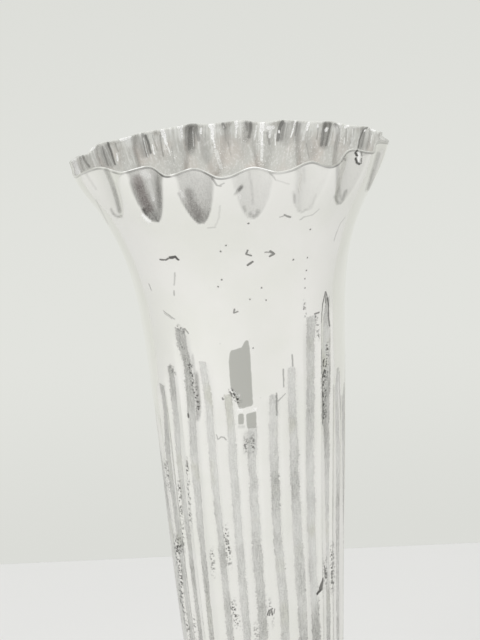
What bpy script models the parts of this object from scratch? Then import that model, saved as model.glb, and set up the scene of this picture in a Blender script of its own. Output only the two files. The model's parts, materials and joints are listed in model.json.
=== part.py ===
# Thistle vase in plated sheet metal. A fluted trumpet with a crimped mouth is lapped into a fluted
# thistle bulb, which a stud and nut hold to a turned stem and a loaded foot.
# Lengths are in metres, +Z is up, and the origin is at the middle of the face that the vase rests on.
# Turns are measured from the front, which is -Y, towards +X.

import math

import bmesh
import bpy

# Heights above the table
OVERALL_HEIGHT = 0.280
WAIST_HEIGHT = 0.100
BULB_HEIGHT = 0.065

# Trumpet
BODY_SHEET = 0.0007
WAIST_RADIUS = 0.0255
BODY_RADIUS = 0.0314
BODY_LENGTH = 0.114
BODY_SWELL = 0.8
FLARE_DEPTH = 0.0293
FLARE_ANGLE = math.radians(34)
FLARE_BLEND = 0.009
LIP_LENGTH = 0.018
LIP_DRAW = 0.0045
LAP_LENGTH = 0.006

# Crimped mouth
CRIMPS = 18
CRIMP_TURN = math.radians(-3.2)
CRIMP_DEPTH = 0.0024
CRIMP_DROP = 0.0010
CRIMP_LENGTH = 0.018

# Flutes, which run down the trumpet and on round the bulb
FLUTES = 30
FLUTE_TURN = math.radians(4.8)
FLUTE_DEPTH = 0.0008
BULB_FLUTE_DEPTH = 0.0012
FLUTE_TOP_BELOW_MOUTH = 0.068
FLUTE_END_LENGTH = 0.012

# Thistle bulb
BULB_SHEET = 0.0007
BULB_RADIUS = 0.0380
BULB_SEAT_RADIUS = 0.0110

# Stem
STEM_LENGTH = 0.0155
STEM_NECK_RADIUS = 0.0056
STEM_FLANGE_RADIUS = 0.0112
STEM_FLANGE_LENGTH = 0.0043
KNOP_RADIUS = 0.0086
KNOP_LENGTH = 0.0064

# Foot
FOOT_SHEET = 0.0006
FOOT_RADIUS = 0.0410
FOOT_HEIGHT = 0.0240
FOOT_BAND_HEIGHT = 0.0042
FOOT_STEP = 0.0026
FOOT_STEP_RISE = 0.0010
FOOT_TOP_RADIUS = 0.0118
FOOT_LIFT = 0.0004
EDGE_WIRE_RADIUS = 0.0012

# Inside the foot
PAD_THICKNESS = 0.0012
PLATE_THICKNESS = 0.0010
LOADING_POCKET_MARGIN = 0.0012
STUD_RADIUS = 0.0025
STUD_HEAD_RADIUS = 0.0062
STUD_HEAD_THICKNESS = 0.0014
STUD_TAIL = 0.0016
WASHER_RADIUS = 0.0080
WASHER_THICKNESS = 0.0010
NUT_ACROSS_FLATS = 0.0080
NUT_HEIGHT = 0.0040

# Gap left at every seat, and the larger one round the stud
SEAT_GAP = 0.0003
BORE_CLEARANCE = 0.0003

# Facets
TRUMPET_SEGMENTS = 180
BULB_SEGMENTS = 90
FOOT_SEGMENTS = 40
STEM_SEGMENTS = 24
STUD_SEGMENTS = 16
NUT_SEGMENTS = 24
WIRE_SIDES = 6

# Heights that follow from the sizes above
FOOT_TOP = FOOT_LIFT + FOOT_HEIGHT
STEM_BOTTOM = FOOT_TOP + SEAT_GAP
STEM_TOP = STEM_BOTTOM + STEM_LENGTH
BULB_BOTTOM = STEM_TOP + SEAT_GAP
TRUMPET_BOTTOM = WAIST_HEIGHT - LAP_LENGTH
PLATE_BOTTOM = PAD_THICKNESS + SEAT_GAP
PLATE_TOP = PLATE_BOTTOM + PLATE_THICKNESS
WASHER_TOP = FOOT_TOP - FOOT_SHEET - SEAT_GAP
WASHER_BOTTOM = WASHER_TOP - WASHER_THICKNESS
NUT_TOP = WASHER_BOTTOM - SEAT_GAP
NUT_BOTTOM = NUT_TOP - NUT_HEIGHT


def clear_scene():
    for obj in list(bpy.data.objects):
        bpy.data.objects.remove(obj, do_unlink=True)


def material(name, colour, metallic, roughness):
    made = bpy.data.materials.new(name)
    made.use_nodes = True
    shader = made.node_tree.nodes["Principled BSDF"]
    shader.inputs["Base Color"].default_value = (*colour, 1.0)
    shader.inputs["Metallic"].default_value = metallic
    shader.inputs["Roughness"].default_value = roughness
    made.diffuse_color = (*colour, 1.0)
    return made


def smooth(x):
    x = min(max(x, 0.0), 1.0)
    return x * x * (3.0 - 2.0 * x)


def between(start, end, rows):
    return [start + (end - start) * row / rows for row in range(rows + 1)]


# A profile moved sideways by a wall thickness: to the left of the way it runs for a positive one.
def offset(profile, wall):
    moved = []
    for i, (r, z) in enumerate(profile):
        r0, z0 = profile[max(i - 1, 0)]
        r1, z1 = profile[min(i + 1, len(profile) - 1)]
        run = math.hypot(r1 - r0, z1 - z0)
        moved.append((r - wall * (z1 - z0) / run, z + wall * (r1 - r0) / run))
    return moved


# One closed body of revolution from a closed outline of (radius, height) points. An outline that
# starts and ends on the axis is closed by the axis itself. Each point may then be pressed in, and the
# faces are split along their shorter diagonals, so that both sides of a flute bend alike.
def turned(name, outline, segments, finish, pressed=None, smooth_angle=40.0):
    mesh = bmesh.new()
    start = FLUTE_TURN - math.pi / 2
    ring = [mesh.verts.new((r * math.cos(start), r * math.sin(start), z)) for r, z in outline]
    for a, b in zip(ring, ring[1:]):
        mesh.edges.new((a, b))
    if outline[0][0] > 0.0:
        mesh.edges.new((ring[-1], ring[0]))
    bmesh.ops.spin(
        mesh,
        geom=mesh.verts[:] + mesh.edges[:],
        cent=(0.0, 0.0, 0.0),
        axis=(0.0, 0.0, 1.0),
        angle=math.tau,
        steps=segments,
        use_merge=True,
    )
    bmesh.ops.remove_doubles(mesh, verts=mesh.verts[:], dist=1e-6)
    if pressed:
        for vert in mesh.verts:
            r = math.hypot(vert.co.x, vert.co.y)
            turn = math.atan2(vert.co.x, -vert.co.y)
            r, z = pressed(r, vert.co.z, turn)
            vert.co = (r * math.sin(turn), -r * math.cos(turn), z)
        bmesh.ops.triangulate(mesh, faces=mesh.faces[:], quad_method="SHORT_EDGE")
    bmesh.ops.recalc_face_normals(mesh, faces=mesh.faces[:])
    return finished(name, mesh, finish, smooth_angle)


def finished(name, mesh, finish, smooth_angle):
    data = bpy.data.meshes.new(name)
    mesh.to_mesh(data)
    mesh.free()
    data.shade_smooth()
    data.set_sharp_from_angle(angle=math.radians(smooth_angle))
    data.materials.append(finish)
    obj = bpy.data.objects.new(name, data)
    bpy.context.scene.collection.objects.link(obj)
    return obj


# Outer radius of the trumpet: a slow swell from the waist up, a flare that sets in below the mouth, and
# a lip that is drawn back towards upright.
def trumpet_radius(z):
    swell = max((z - WAIST_HEIGHT) / BODY_LENGTH, 0.0) ** BODY_SWELL
    above = z - (OVERALL_HEIGHT - FLARE_DEPTH)
    flare = math.tan(FLARE_ANGLE) * FLARE_BLEND * math.log1p(math.exp(above / FLARE_BLEND))
    lip = max(1.0 - (OVERALL_HEIGHT - z) / LIP_LENGTH, 0.0)
    return WAIST_RADIUS + (BODY_RADIUS - WAIST_RADIUS) * swell + flare - LIP_DRAW * lip * lip


# Depth of one hollow flute across its width, nought at the ridges on both sides of it.
def flute_shape(turn):
    return abs(math.sin(FLUTES / 2 * (turn - FLUTE_TURN)))


# How far the mouth is pressed in, from nought on an outward lobe to one on an inward one.
def crimp_shape(turn):
    return 0.5 - 0.5 * math.cos(CRIMPS * (turn - CRIMP_TURN))


def press_trumpet(r, z, turn):
    top = OVERALL_HEIGHT - FLUTE_TOP_BELOW_MOUTH
    along = smooth((z - WAIST_HEIGHT) / FLUTE_END_LENGTH) * smooth((top - z) / FLUTE_END_LENGTH)
    below = min(max((OVERALL_HEIGHT - z) / CRIMP_LENGTH, 0.0), 1.0)
    oval = 1.0 - below * below
    r -= FLUTE_DEPTH * along * flute_shape(turn)
    r -= CRIMP_DEPTH * oval * crimp_shape(turn)
    z -= CRIMP_DROP * oval * (1.0 - crimp_shape(turn))
    return r, z


# The flutes need a row of points only at their ends, and the flare and the ovals need more.
def trumpet_body(finish):
    flute_bottom = WAIST_HEIGHT + FLUTE_END_LENGTH
    flute_top = OVERALL_HEIGHT - FLUTE_TOP_BELOW_MOUTH
    flare_start = OVERALL_HEIGHT - FLARE_DEPTH - 2 * FLARE_BLEND
    oval_end = OVERALL_HEIGHT - CRIMP_LENGTH
    ends = [TRUMPET_BOTTOM, flute_bottom, flute_top - FLUTE_END_LENGTH]
    mouth = between(oval_end, OVERALL_HEIGHT, 2)[1:]
    outer_heights = sorted(ends + [WAIST_HEIGHT, flute_top] + between(flare_start, oval_end, 3) + mouth)
    inner_heights = sorted(ends + between(flare_start, oval_end, 2) + mouth)
    outer = [(trumpet_radius(z), z) for z in outer_heights]
    inner = offset([(trumpet_radius(z), z) for z in inner_heights], BODY_SHEET)
    inner[-1] = (inner[-1][0], OVERALL_HEIGHT)
    outline = outer + inner[::-1]
    return turned("trumpet_body", outline, TRUMPET_SEGMENTS, finish, press_trumpet)


# Outer radius and height of the bulb, up from its flat seat round the belly to the collar band.
def bulb_profile():
    collar = WAIST_RADIUS + SEAT_GAP + BULB_SHEET
    neck_height = TRUMPET_BOTTOM - BULB_SHEET
    profile = [(BULB_SEAT_RADIUS, BULB_BOTTOM)]
    for turn in between(0.0, math.pi / 2, 4)[1:]:
        r = BULB_SEAT_RADIUS + (BULB_RADIUS - BULB_SEAT_RADIUS) * math.sin(turn)
        profile.append((r, BULB_HEIGHT - (BULB_HEIGHT - BULB_BOTTOM) * math.cos(turn)))
    for step in between(0.0, 1.0, 4)[1:]:
        r = collar + (BULB_RADIUS - collar) * (0.5 + 0.5 * math.cos(math.pi * step))
        profile.append((r, BULB_HEIGHT + (neck_height - BULB_HEIGHT) * step))
    profile.append((collar, WAIST_HEIGHT))
    return profile


def press_bulb(r, z, turn):
    upper = smooth((TRUMPET_BOTTOM - BULB_SHEET - z) / FLUTE_END_LENGTH)
    lower = smooth((r - BULB_SEAT_RADIUS) / FLUTE_END_LENGTH)
    return r - BULB_FLUTE_DEPTH * upper * lower * flute_shape(turn), z


def thistle_bulb(finish):
    outer = bulb_profile()
    inner = offset(outer, BULB_SHEET)[::-1]
    floor = BULB_BOTTOM + BULB_SHEET
    inner[-1] = (BULB_SEAT_RADIUS, floor)
    outline = [(0.0, BULB_BOTTOM)] + outer + inner + [(0.0, floor)]
    return turned("thistle_bulb", outline, BULB_SEGMENTS, finish, press_bulb)


# A turned stem: flanges at both ends, waisted on each side of a rounded knop, with a bore for the
# stud and a counterbore for its head.
def stem_spool(finish):
    outer = []
    for z in between(STEM_BOTTOM, STEM_TOP, 12):
        from_end = min(z - STEM_BOTTOM, STEM_TOP - z)
        from_knop = abs(z - (STEM_BOTTOM + STEM_TOP) / 2)
        flange = max(1.0 - from_end / STEM_FLANGE_LENGTH, 0.0) ** 2
        knop = math.sqrt(max(1.0 - (from_knop / (KNOP_LENGTH / 2)) ** 2, 0.0))
        r = STEM_NECK_RADIUS
        r += (STEM_FLANGE_RADIUS - STEM_NECK_RADIUS) * flange
        r += (KNOP_RADIUS - STEM_NECK_RADIUS) * knop
        outer.append((r, z))
    bore = STUD_RADIUS + BORE_CLEARANCE
    sink = STUD_HEAD_RADIUS + BORE_CLEARANCE
    step = STEM_TOP - STUD_HEAD_THICKNESS - SEAT_GAP
    inner = [(sink, STEM_TOP), (sink, step), (bore, step), (bore, STEM_BOTTOM)]
    return turned("stem_spool", outer + inner, STEM_SEGMENTS, finish)


# Outer profile of the stamped foot, up from its edge: a plain band, a step and an ogee dome.
def foot_profile():
    band_top = FOOT_LIFT + FOOT_BAND_HEIGHT
    ledge = FOOT_RADIUS - FOOT_STEP
    dome_start = band_top + FOOT_STEP_RISE
    profile = [(FOOT_RADIUS, FOOT_LIFT), (FOOT_RADIUS, band_top)]
    for t in between(0.0, 1.0, 6):
        r = ledge + (FOOT_TOP_RADIUS - ledge) * t
        profile.append((r, dome_start + (FOOT_TOP - dome_start) * smooth(t)))
    return profile


def foot_shell(finish):
    outer = foot_profile()
    inner = offset(outer, FOOT_SHEET)
    inner[0] = (FOOT_RADIUS - FOOT_SHEET, FOOT_LIFT)
    inner[-1] = (FOOT_TOP_RADIUS, FOOT_TOP - FOOT_SHEET)
    hole = STUD_RADIUS + BORE_CLEARANCE
    middle = [(hole, FOOT_TOP), (hole, FOOT_TOP - FOOT_SHEET)]
    return turned("foot_shell", outer + middle + inner[::-1], FOOT_SEGMENTS, finish)


# Round wire soldered round the outside of the foot's band.
def foot_edge_wire(finish):
    middle = FOOT_RADIUS + SEAT_GAP + EDGE_WIRE_RADIUS
    outline = []
    for side in range(WIRE_SIDES):
        turn = math.tau * side / WIRE_SIDES
        height = FOOT_LIFT + EDGE_WIRE_RADIUS * (1.0 + math.sin(turn))
        outline.append((middle + EDGE_WIRE_RADIUS * math.cos(turn), height))
    return turned("foot_edge_wire", outline, FOOT_SEGMENTS, finish, smooth_angle=80.0)


# Poured filling of the foot, with a pocket round the washer and the nut.
def foot_loading(finish):
    pocket = WASHER_RADIUS + LOADING_POCKET_MARGIN
    bottom = PLATE_TOP + SEAT_GAP
    top = FOOT_TOP - FOOT_SHEET - SEAT_GAP
    lining = offset(foot_profile(), FOOT_SHEET + SEAT_GAP)
    wall = [(r, z) for r, z in lining if z > bottom + SEAT_GAP and r > pocket]
    outer_radius = FOOT_RADIUS - FOOT_SHEET - SEAT_GAP
    outline = [(outer_radius, bottom)] + wall + [(pocket, top), (pocket, bottom)]
    return turned("foot_loading", outline, FOOT_SEGMENTS, finish)


def base_plate(finish):
    radius = FOOT_RADIUS - FOOT_SHEET - SEAT_GAP
    outline = [(0.0, PLATE_BOTTOM), (radius, PLATE_BOTTOM), (radius, PLATE_TOP), (0.0, PLATE_TOP)]
    return turned("base_plate", outline, FOOT_SEGMENTS, finish)


def baize_pad(finish):
    radius = FOOT_RADIUS - FOOT_SHEET - SEAT_GAP
    outline = [(0.0, 0.0), (radius, 0.0), (radius, PAD_THICKNESS), (0.0, PAD_THICKNESS)]
    return turned("baize_pad", outline, FOOT_SEGMENTS, finish)


# Headed stud soldered under the bulb, down through the stem and the foot.
def stem_stud(finish):
    head = STEM_TOP - STUD_HEAD_THICKNESS
    tail = NUT_BOTTOM - STUD_TAIL
    outline = [
        (0.0, tail),
        (STUD_RADIUS, tail),
        (STUD_RADIUS, head),
        (STUD_HEAD_RADIUS, head),
        (STUD_HEAD_RADIUS, STEM_TOP),
        (0.0, STEM_TOP),
    ]
    return turned("stem_stud", outline, STUD_SEGMENTS, finish)


def stud_washer(finish):
    hole = STUD_RADIUS + BORE_CLEARANCE
    outline = [
        (hole, WASHER_BOTTOM),
        (WASHER_RADIUS, WASHER_BOTTOM),
        (WASHER_RADIUS, WASHER_TOP),
        (hole, WASHER_TOP),
    ]
    return turned("stud_washer", outline, NUT_SEGMENTS, finish)


# Hexagon nut: every fourth facet of the turned ring is a corner, and the others are drawn in to the flats.
def stud_nut(finish):
    hole = STUD_RADIUS + BORE_CLEARANCE
    corner = NUT_ACROSS_FLATS / 2 / math.cos(math.pi / 6)

    def press_hexagon(r, z, turn):
        if r < (hole + corner) / 2:
            return r, z
        from_flat = (turn - FLUTE_TURN) % (math.pi / 3) - math.pi / 6
        return NUT_ACROSS_FLATS / 2 / math.cos(from_flat), z

    outline = [(hole, NUT_BOTTOM), (corner, NUT_BOTTOM), (corner, NUT_TOP), (hole, NUT_TOP)]
    return turned("stud_nut", outline, NUT_SEGMENTS, finish, press_hexagon)


def main():
    clear_scene()
    silver = material("silver_plate", (0.87, 0.86, 0.84), 1.0, 0.16)
    cast_silver = material("cast_silver_plate", (0.85, 0.84, 0.82), 1.0, 0.2)
    steel = material("steel", (0.45, 0.45, 0.46), 1.0, 0.42)
    brass = material("brass", (0.72, 0.55, 0.28), 1.0, 0.35)
    pitch = material("pitch_loading", (0.05, 0.04, 0.035), 0.0, 0.7)
    baize = material("green_baize", (0.05, 0.13, 0.07), 0.0, 0.95)
    trumpet_body(silver)
    thistle_bulb(silver)
    stem_spool(cast_silver)
    foot_shell(silver)
    foot_edge_wire(cast_silver)
    stem_stud(brass)
    stud_washer(steel)
    stud_nut(brass)
    foot_loading(pitch)
    base_plate(steel)
    baize_pad(baize)


main()
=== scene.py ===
import json
import math

import bmesh
import bpy
import numpy as np
from mathutils import Matrix, Vector

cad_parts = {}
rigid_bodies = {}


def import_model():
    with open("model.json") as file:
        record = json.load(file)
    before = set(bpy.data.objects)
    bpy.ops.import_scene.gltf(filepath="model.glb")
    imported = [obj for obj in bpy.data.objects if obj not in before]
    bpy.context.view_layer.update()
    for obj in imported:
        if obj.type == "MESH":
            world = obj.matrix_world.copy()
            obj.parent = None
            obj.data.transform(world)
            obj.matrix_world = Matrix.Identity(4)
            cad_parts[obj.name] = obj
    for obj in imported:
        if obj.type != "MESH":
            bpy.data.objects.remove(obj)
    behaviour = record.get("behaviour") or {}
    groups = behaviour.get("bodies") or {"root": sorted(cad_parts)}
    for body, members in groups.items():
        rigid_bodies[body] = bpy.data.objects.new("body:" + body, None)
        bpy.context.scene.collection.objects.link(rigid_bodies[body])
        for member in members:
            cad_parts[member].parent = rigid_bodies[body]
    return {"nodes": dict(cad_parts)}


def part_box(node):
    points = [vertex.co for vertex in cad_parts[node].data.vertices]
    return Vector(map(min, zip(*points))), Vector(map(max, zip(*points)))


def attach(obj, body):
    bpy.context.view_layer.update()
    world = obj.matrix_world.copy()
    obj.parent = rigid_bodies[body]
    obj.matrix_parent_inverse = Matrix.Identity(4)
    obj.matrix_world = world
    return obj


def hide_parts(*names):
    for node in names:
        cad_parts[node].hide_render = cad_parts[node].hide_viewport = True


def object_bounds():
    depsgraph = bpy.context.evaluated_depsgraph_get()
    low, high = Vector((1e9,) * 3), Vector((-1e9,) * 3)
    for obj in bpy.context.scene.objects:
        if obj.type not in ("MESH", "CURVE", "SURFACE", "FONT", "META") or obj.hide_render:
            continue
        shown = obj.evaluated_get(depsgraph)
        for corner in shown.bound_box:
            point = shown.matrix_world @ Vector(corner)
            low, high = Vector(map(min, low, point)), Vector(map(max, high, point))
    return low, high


for leftover in list(bpy.data.objects):
    bpy.data.objects.remove(leftover, do_unlink=True)

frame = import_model()
cadLow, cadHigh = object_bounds()
print("frame loaded:", len(frame["nodes"]), "nodes")

# The photograph's own view. The camera looks down a little on the mouth and is turned on its axis.
camera = {
    "distance": 0.54,
    "side": 0.0007,
    "elevation": math.radians(8.80),
    "roll": math.radians(-3.94),
    "aim": Vector((-0.0002, 0.0, 0.2222)),
    "rimHeight": 0.2785,
    "lens": 98.2,
    "sensor": 36.0,
    "picture": (480, 640),
}


def cameraAxes():
    away = camera["distance"]
    eye = Vector((camera["side"], -away * math.cos(camera["elevation"]), 0.0))
    eye.z = camera["rimHeight"] + away * math.sin(camera["elevation"])
    forward = (camera["aim"] - eye).normalized()
    level = forward.cross(Vector((0, 0, 1))).normalized()
    upright = level.cross(forward)
    c, s = math.cos(camera["roll"]), math.sin(camera["roll"])
    return eye, c * level + s * upright, -s * level + c * upright, forward


eye, lookRight, lookUp, lookAhead = cameraAxes()
focal = camera["lens"] / camera["sensor"] * max(camera["picture"])  # in pixels
pixel = camera["distance"] / focal  # what a pixel covers on the vase, in metres


def placed(name, data):
    made = bpy.data.objects.new(name, data)
    bpy.context.scene.collection.objects.link(made)
    return made


def makeCamera():
    data = bpy.data.cameras.new("camera")
    data.lens = camera["lens"]
    data.sensor_width = camera["sensor"]
    data.clip_start, data.clip_end = 0.01, 20.0
    made = placed("camera", data)
    turned = Matrix((lookRight, lookUp, -lookAhead)).transposed()
    made.matrix_world = Matrix.Translation(eye) @ turned.to_4x4()
    bpy.context.scene.camera = made


# Direction from the camera through a pixel of the photograph
def through(x, y):
    width, height = camera["picture"]
    across, down = (x - width / 2) / focal, (y - height / 2) / focal
    return (lookAhead + across * lookRight - down * lookUp).normalized()


# Pixels of the photograph in which an array of points shows
def seenAt(points):
    width, height = camera["picture"]
    away = points - np.array(eye)
    depth = away @ np.array(lookAhead)
    x = width / 2 + focal * (away @ np.array(lookRight)) / depth
    y = height / 2 - focal * (away @ np.array(lookUp)) / depth
    return x, y


# Turn of a point round the vase: 0 is its front, and it grows to the right.
def turnOf(point):
    return math.atan2(point.x, -point.y)


def onTable(x, y):
    ray = through(x, y)
    return eye - ray * (eye.z / ray.z)


# Where the sight line through a pixel meets an upright cylinder: its near side, or its far one.
def onCylinder(x, y, radius, far=False):
    ray = through(x, y)
    a = ray.x ** 2 + ray.y ** 2
    b = eye.x * ray.x + eye.y * ray.y
    c = eye.x ** 2 + eye.y ** 2 - radius ** 2
    root = math.sqrt(max(b * b - a * c, 0.0))
    return eye + ray * ((-b + root) / a if far else (-b - root) / a)


# Easing between 0 and 1, for single numbers and for arrays
def ease(x):
    x = np.clip(x, 0.0, 1.0)
    return x * x * (3.0 - 2.0 * x)


def wrapped(turn):
    return (turn + math.pi) % math.tau - math.pi


def spread(start, end, count):
    return [float(value) for value in np.linspace(start, end, count)]


# Heights from a start up through stretches, each with its end and its number of rows
def rows(start, stretches):
    heights = [start]
    for end, count in stretches:
        heights += spread(heights[-1], end, count)[1:]
    return heights


# Distance, in pixels, from each (x, y) to a line through the given points
def fromLine(x, y, line):
    nearest = np.full(x.shape, 1e6)
    for (ax, ay), (bx, by) in zip(line, line[1:]):
        dx, dy = bx - ax, by - ay
        along = np.clip(((x - ax) * dx + (y - ay) * dy) / (dx * dx + dy * dy), 0.0, 1.0)
        nearest = np.minimum(nearest, np.hypot(x - ax - along * dx, y - ay - along * dy))
    return nearest


# Depth inside a convex outline whose corners run clockwise in the picture, in pixels
def insideOutline(x, y, corners):
    depth = np.full(x.shape, 1e6)
    for (ax, ay), (bx, by) in zip(corners, corners[1:] + corners[:1]):
        dx, dy = bx - ax, by - ay
        depth = np.minimum(depth, ((y - ay) * dx - (x - ax) * dy) / math.hypot(dx, dy))
    return depth


# A profile moved to its left by a wall's thickness
def shifted(profile, wall):
    moved = []
    for i, (r, z) in enumerate(profile):
        r0, z0 = profile[max(i - 1, 0)]
        r1, z1 = profile[min(i + 1, len(profile) - 1)]
        run = math.hypot(r1 - r0, z1 - z0)
        moved.append((r - wall * (z1 - z0) / run, z + wall * (r1 - r0) / run))
    return moved


# Points on an arc round (r, z), in a profile
def arc(r, z, radius, start, end, count):
    turns = spread(math.radians(start), math.radians(end), count)
    return [(r + radius * math.cos(a), z + radius * math.sin(a)) for a in turns]


# Spins an outline of (radius, height) points round the vase's axis into one closed skin.
def spun(outline, segments):
    mesh = bmesh.new()
    ring = [mesh.verts.new((0.0, -r, z)) for r, z in outline]
    for a, b in zip(ring, ring[1:]):
        mesh.edges.new((a, b))
    if outline[0][0] > 0.0:
        mesh.edges.new((ring[-1], ring[0]))
    bmesh.ops.spin(mesh, geom=mesh.verts[:] + mesh.edges[:], cent=(0, 0, 0), axis=(0, 0, 1),
                   angle=math.tau, steps=segments, use_merge=True)
    bmesh.ops.remove_doubles(mesh, verts=mesh.verts[:], dist=1e-6)
    bmesh.ops.recalc_face_normals(mesh, faces=mesh.faces[:])
    return mesh


def solid(name, mesh, finish):
    data = bpy.data.meshes.new(name)
    mesh.to_mesh(data)
    mesh.free()
    data.materials.append(finish)
    return placed(name, data)


def finishedPiece(name, mesh, finish, node, sharp=35.0):
    made = solid(name, mesh, finish)
    made.data.shade_smooth()
    made.data.set_sharp_from_angle(angle=math.radians(sharp))
    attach(made, "root")
    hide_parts(node)
    return made


def pointsOf(data):
    flat = np.empty(len(data.vertices) * 3, np.float32)
    data.vertices.foreach_get("co", flat)
    return flat.reshape(-1, 3).astype(np.float64)


# Turn and radius of an array of points
def roundAxis(points):
    return np.arctan2(points[:, 0], -points[:, 1]), np.hypot(points[:, 0], points[:, 1])


def setPoints(data, points):
    data.vertices.foreach_set("co", points.astype(np.float32).ravel())
    data.update()


def paint(data, name, values):
    layer = data.attributes.new(name, "FLOAT", "POINT")
    layer.data.foreach_set("value", np.clip(values, 0.0, 1.0).astype(np.float32))


# Colours are written as the screen values that they show, and used as linear ones.
def shown(red, green, blue):
    return tuple(((v / 255 + 0.055) / 1.055) ** 2.4 if v > 10 else v / 3294.6 for v in (red, green, blue))


# Node helpers: wire adds a node, links or sets its inputs and gives back one output.
def wire(tree, kind, inputs, output=0, **settings):
    node = tree.nodes.new(kind)
    for name, value in settings.items():
        setattr(node, name, value)
    for key, value in inputs.items():
        if isinstance(value, bpy.types.NodeSocket):
            tree.links.new(value, node.inputs[key])
        else:
            node.inputs[key].default_value = value
    return node.outputs[output]


def sums(tree, operation, a, b=0.0, c=0.0, clamp=False):
    return wire(tree, "ShaderNodeMath", {0: a, 1: b, 2: c}, operation=operation, use_clamp=clamp)


def times(tree, a, b):
    return sums(tree, "MULTIPLY", a, b)


# A value times a factor, on top of a base
def plus(tree, base, value, factor, clamp=False):
    return sums(tree, "MULTIPLY_ADD", value, factor, base, clamp)


def most(tree, value, *others):
    for other in others:
        value = sums(tree, "MAXIMUM", value, other)
    return value


def vectors(tree, operation, a, b=(0, 0, 0), c=(0, 0, 0), output=0):
    return wire(tree, "ShaderNodeVectorMath", {0: a, 1: b, 2: c}, output=output, operation=operation)


def window(tree, value, low, high, start=0.0, end=1.0):
    inputs = {"Value": value, "From Min": low, "From Max": high, "To Min": start, "To Max": end}
    return wire(tree, "ShaderNodeMapRange", inputs, interpolation_type="SMOOTHSTEP")


def blended(tree, factor, a, b):
    a = (*a, 1.0) if isinstance(a, tuple) else a
    b = (*b, 1.0) if isinstance(b, tuple) else b
    return wire(tree, "ShaderNodeMix", {0: factor, 6: a, 7: b}, output=2, data_type="RGBA")


def noise(tree, at, scale, detail=2.0, roughness=0.5):
    inputs = {"Vector": at, "Scale": scale, "Detail": detail, "Roughness": roughness}
    return wire(tree, "ShaderNodeTexNoise", inputs)


def stretched(tree, at, scale, turned=(0.0, 0.0, 0.0)):
    return wire(tree, "ShaderNodeMapping", {"Vector": at, "Rotation": turned, "Scale": scale})


def cells(tree, at, scale):
    return wire(tree, "ShaderNodeTexVoronoi", {"Vector": at, "Scale": scale, "Randomness": 1.0})


def painted(tree, name, output=2):
    return wire(tree, "ShaderNodeAttribute", {}, output=output, attribute_name=name)


# A material with its node tree, its shader and the piece's own coordinates
def newMaterial(name):
    made = bpy.data.materials.new(name)
    made.use_nodes = True
    tree = made.node_tree
    return made, tree, tree.nodes["Principled BSDF"], wire(tree, "ShaderNodeTexCoord", {}, output=3)


def relief(tree, shader, height):
    bump = wire(tree, "ShaderNodeBump", {"Strength": 1.0, "Distance": 1.0, "Height": height})
    tree.links.new(bump, shader.inputs["Normal"])


# Noises of the finishes, as (scale, detail, roughness, stretch along the height)
noises = {
    "cloud": (60, 3, 0.55, 1), "grain": (1700, 2, 0.6, 0.5), "wobble": (420, 2, 0.5, 0.35),
    "slow": (130, 2, 0.5, 0.5), "mottled": (2600, 3, 0.65, 1.4), "hairs": (2600, 2, 0.6, 0.14),
    "ragged": (800, 2, 0.6, 1.6), "lining": (260, 3, 0.6, 1), "worn": (1300, 2, 0.6, 1),
    "tinted": (75, 2, 0.5, 1), "hammered": (140, 2, 0.5, 1),
}


def noiseOf(tree, at, name):
    scale, detail, roughness, along = noises[name]
    if along != 1:
        at = stretched(tree, at, (1.0, 1.0, along))
    return noise(tree, at, scale, detail, roughness)


# The trumpet's sizes. Heights are above the table, and drops are below the mouth.
trumpet = {
    "segments": 510,
    "crowding": 0.3,  # how much closer the columns stand at the front
    "outerRows": ((0.195, 25), (0.232, 42), (0.256, 13), (0.2775, 41)), "outerRimRows": 8,
    "innerRows": ((0.19, 6), (0.25, 9), (0.260, 7)), "innerRimRows": 34,
    "sheet": 0.00062, "lipHeight": 0.0003, "lipRow": 0.0006,
    "waist": 0.0255, "waistHeight": 0.100,
    "body": 0.0314, "bodyLength": 0.114, "swell": 0.8,
    "flareDrop": 0.0293, "flareAngle": math.radians(34), "flareBlend": 0.009,
    "lipLength": 0.018, "lipDraw": 0.0048, "lipFollows": 1.5,
    "crimps": 18, "crimpTurn": math.radians(-3.15), "crimpDepth": 0.0023,
    "rimFrontDrop": 0.0022, "rimBackRise": 0.0005, "rimBelowTop": 0.0011, "rimTop": 0.2799,
    "flutes": 30, "fluteTurn": math.radians(4.8), "fluteDepth": 0.0008, "fluteHollow": 0.9,
    "fluteTop": 0.205, "fluteTopVaries": 0.006, "fluteEnd": 0.012, "fluteFade": 0.008,
    "wanderTurn": math.radians(3.4), "wanderMore": math.radians(3.0), "wanderFrom": 0.165,
    "wanderAt": math.radians(46), "wanderWidth": math.radians(26),
    "ripple": 0.0001, "rippleTurns": 3, "rippleRise": 55, "rippleFrom": 0.11, "rippleTo": 0.265,
    "rippleFade": 0.03,
    # How far round the photograph's tarnish and painted light reach, and the heights at which their strokes
    # have true widths
    "nearTurn": math.radians(100), "farTurn": math.radians(70),
    "paintTurn": math.radians(96), "paintFade": math.radians(10),
    "marksHeight": 0.235, "mouthHeight": 0.272, "rimBand": 0.0014, "rimPlainLook": 0.4,
}

# The rim as seen in the photograph, by lobe. Whole numbers are outward lobes, and halves are inward ones.
rimSeen = {
    -2: (117, 172), -1: (167, 175), 0: (222, 177), 1: (280, 171.5), 2: (332, 165.5), 3: (374, 151),
    -2.5: (101, 167), -1.5: (148, 165), -0.5: (193, 168), 0.5: (253, 167), 1.5: (311, 161),
    2.5: (351, 149),
    -5: (81.2, 154.1), -6: (107, 141), -7: (142, 132.2), -8: (192, 123), 9: (241, 120), 8: (282, 119.6),
    7: (330, 120.7), 6: (365.4, 126),
    -5.5: (91, 147.5), -6.5: (125, 137), -7.5: (172, 127), -8.5: (211, 123.5), 8.5: (262, 121.8),
    7.5: (309, 121), 6.5: (346, 124),
}
rimFirstBack = 4.6  # lobes past this one are on the far side

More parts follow.
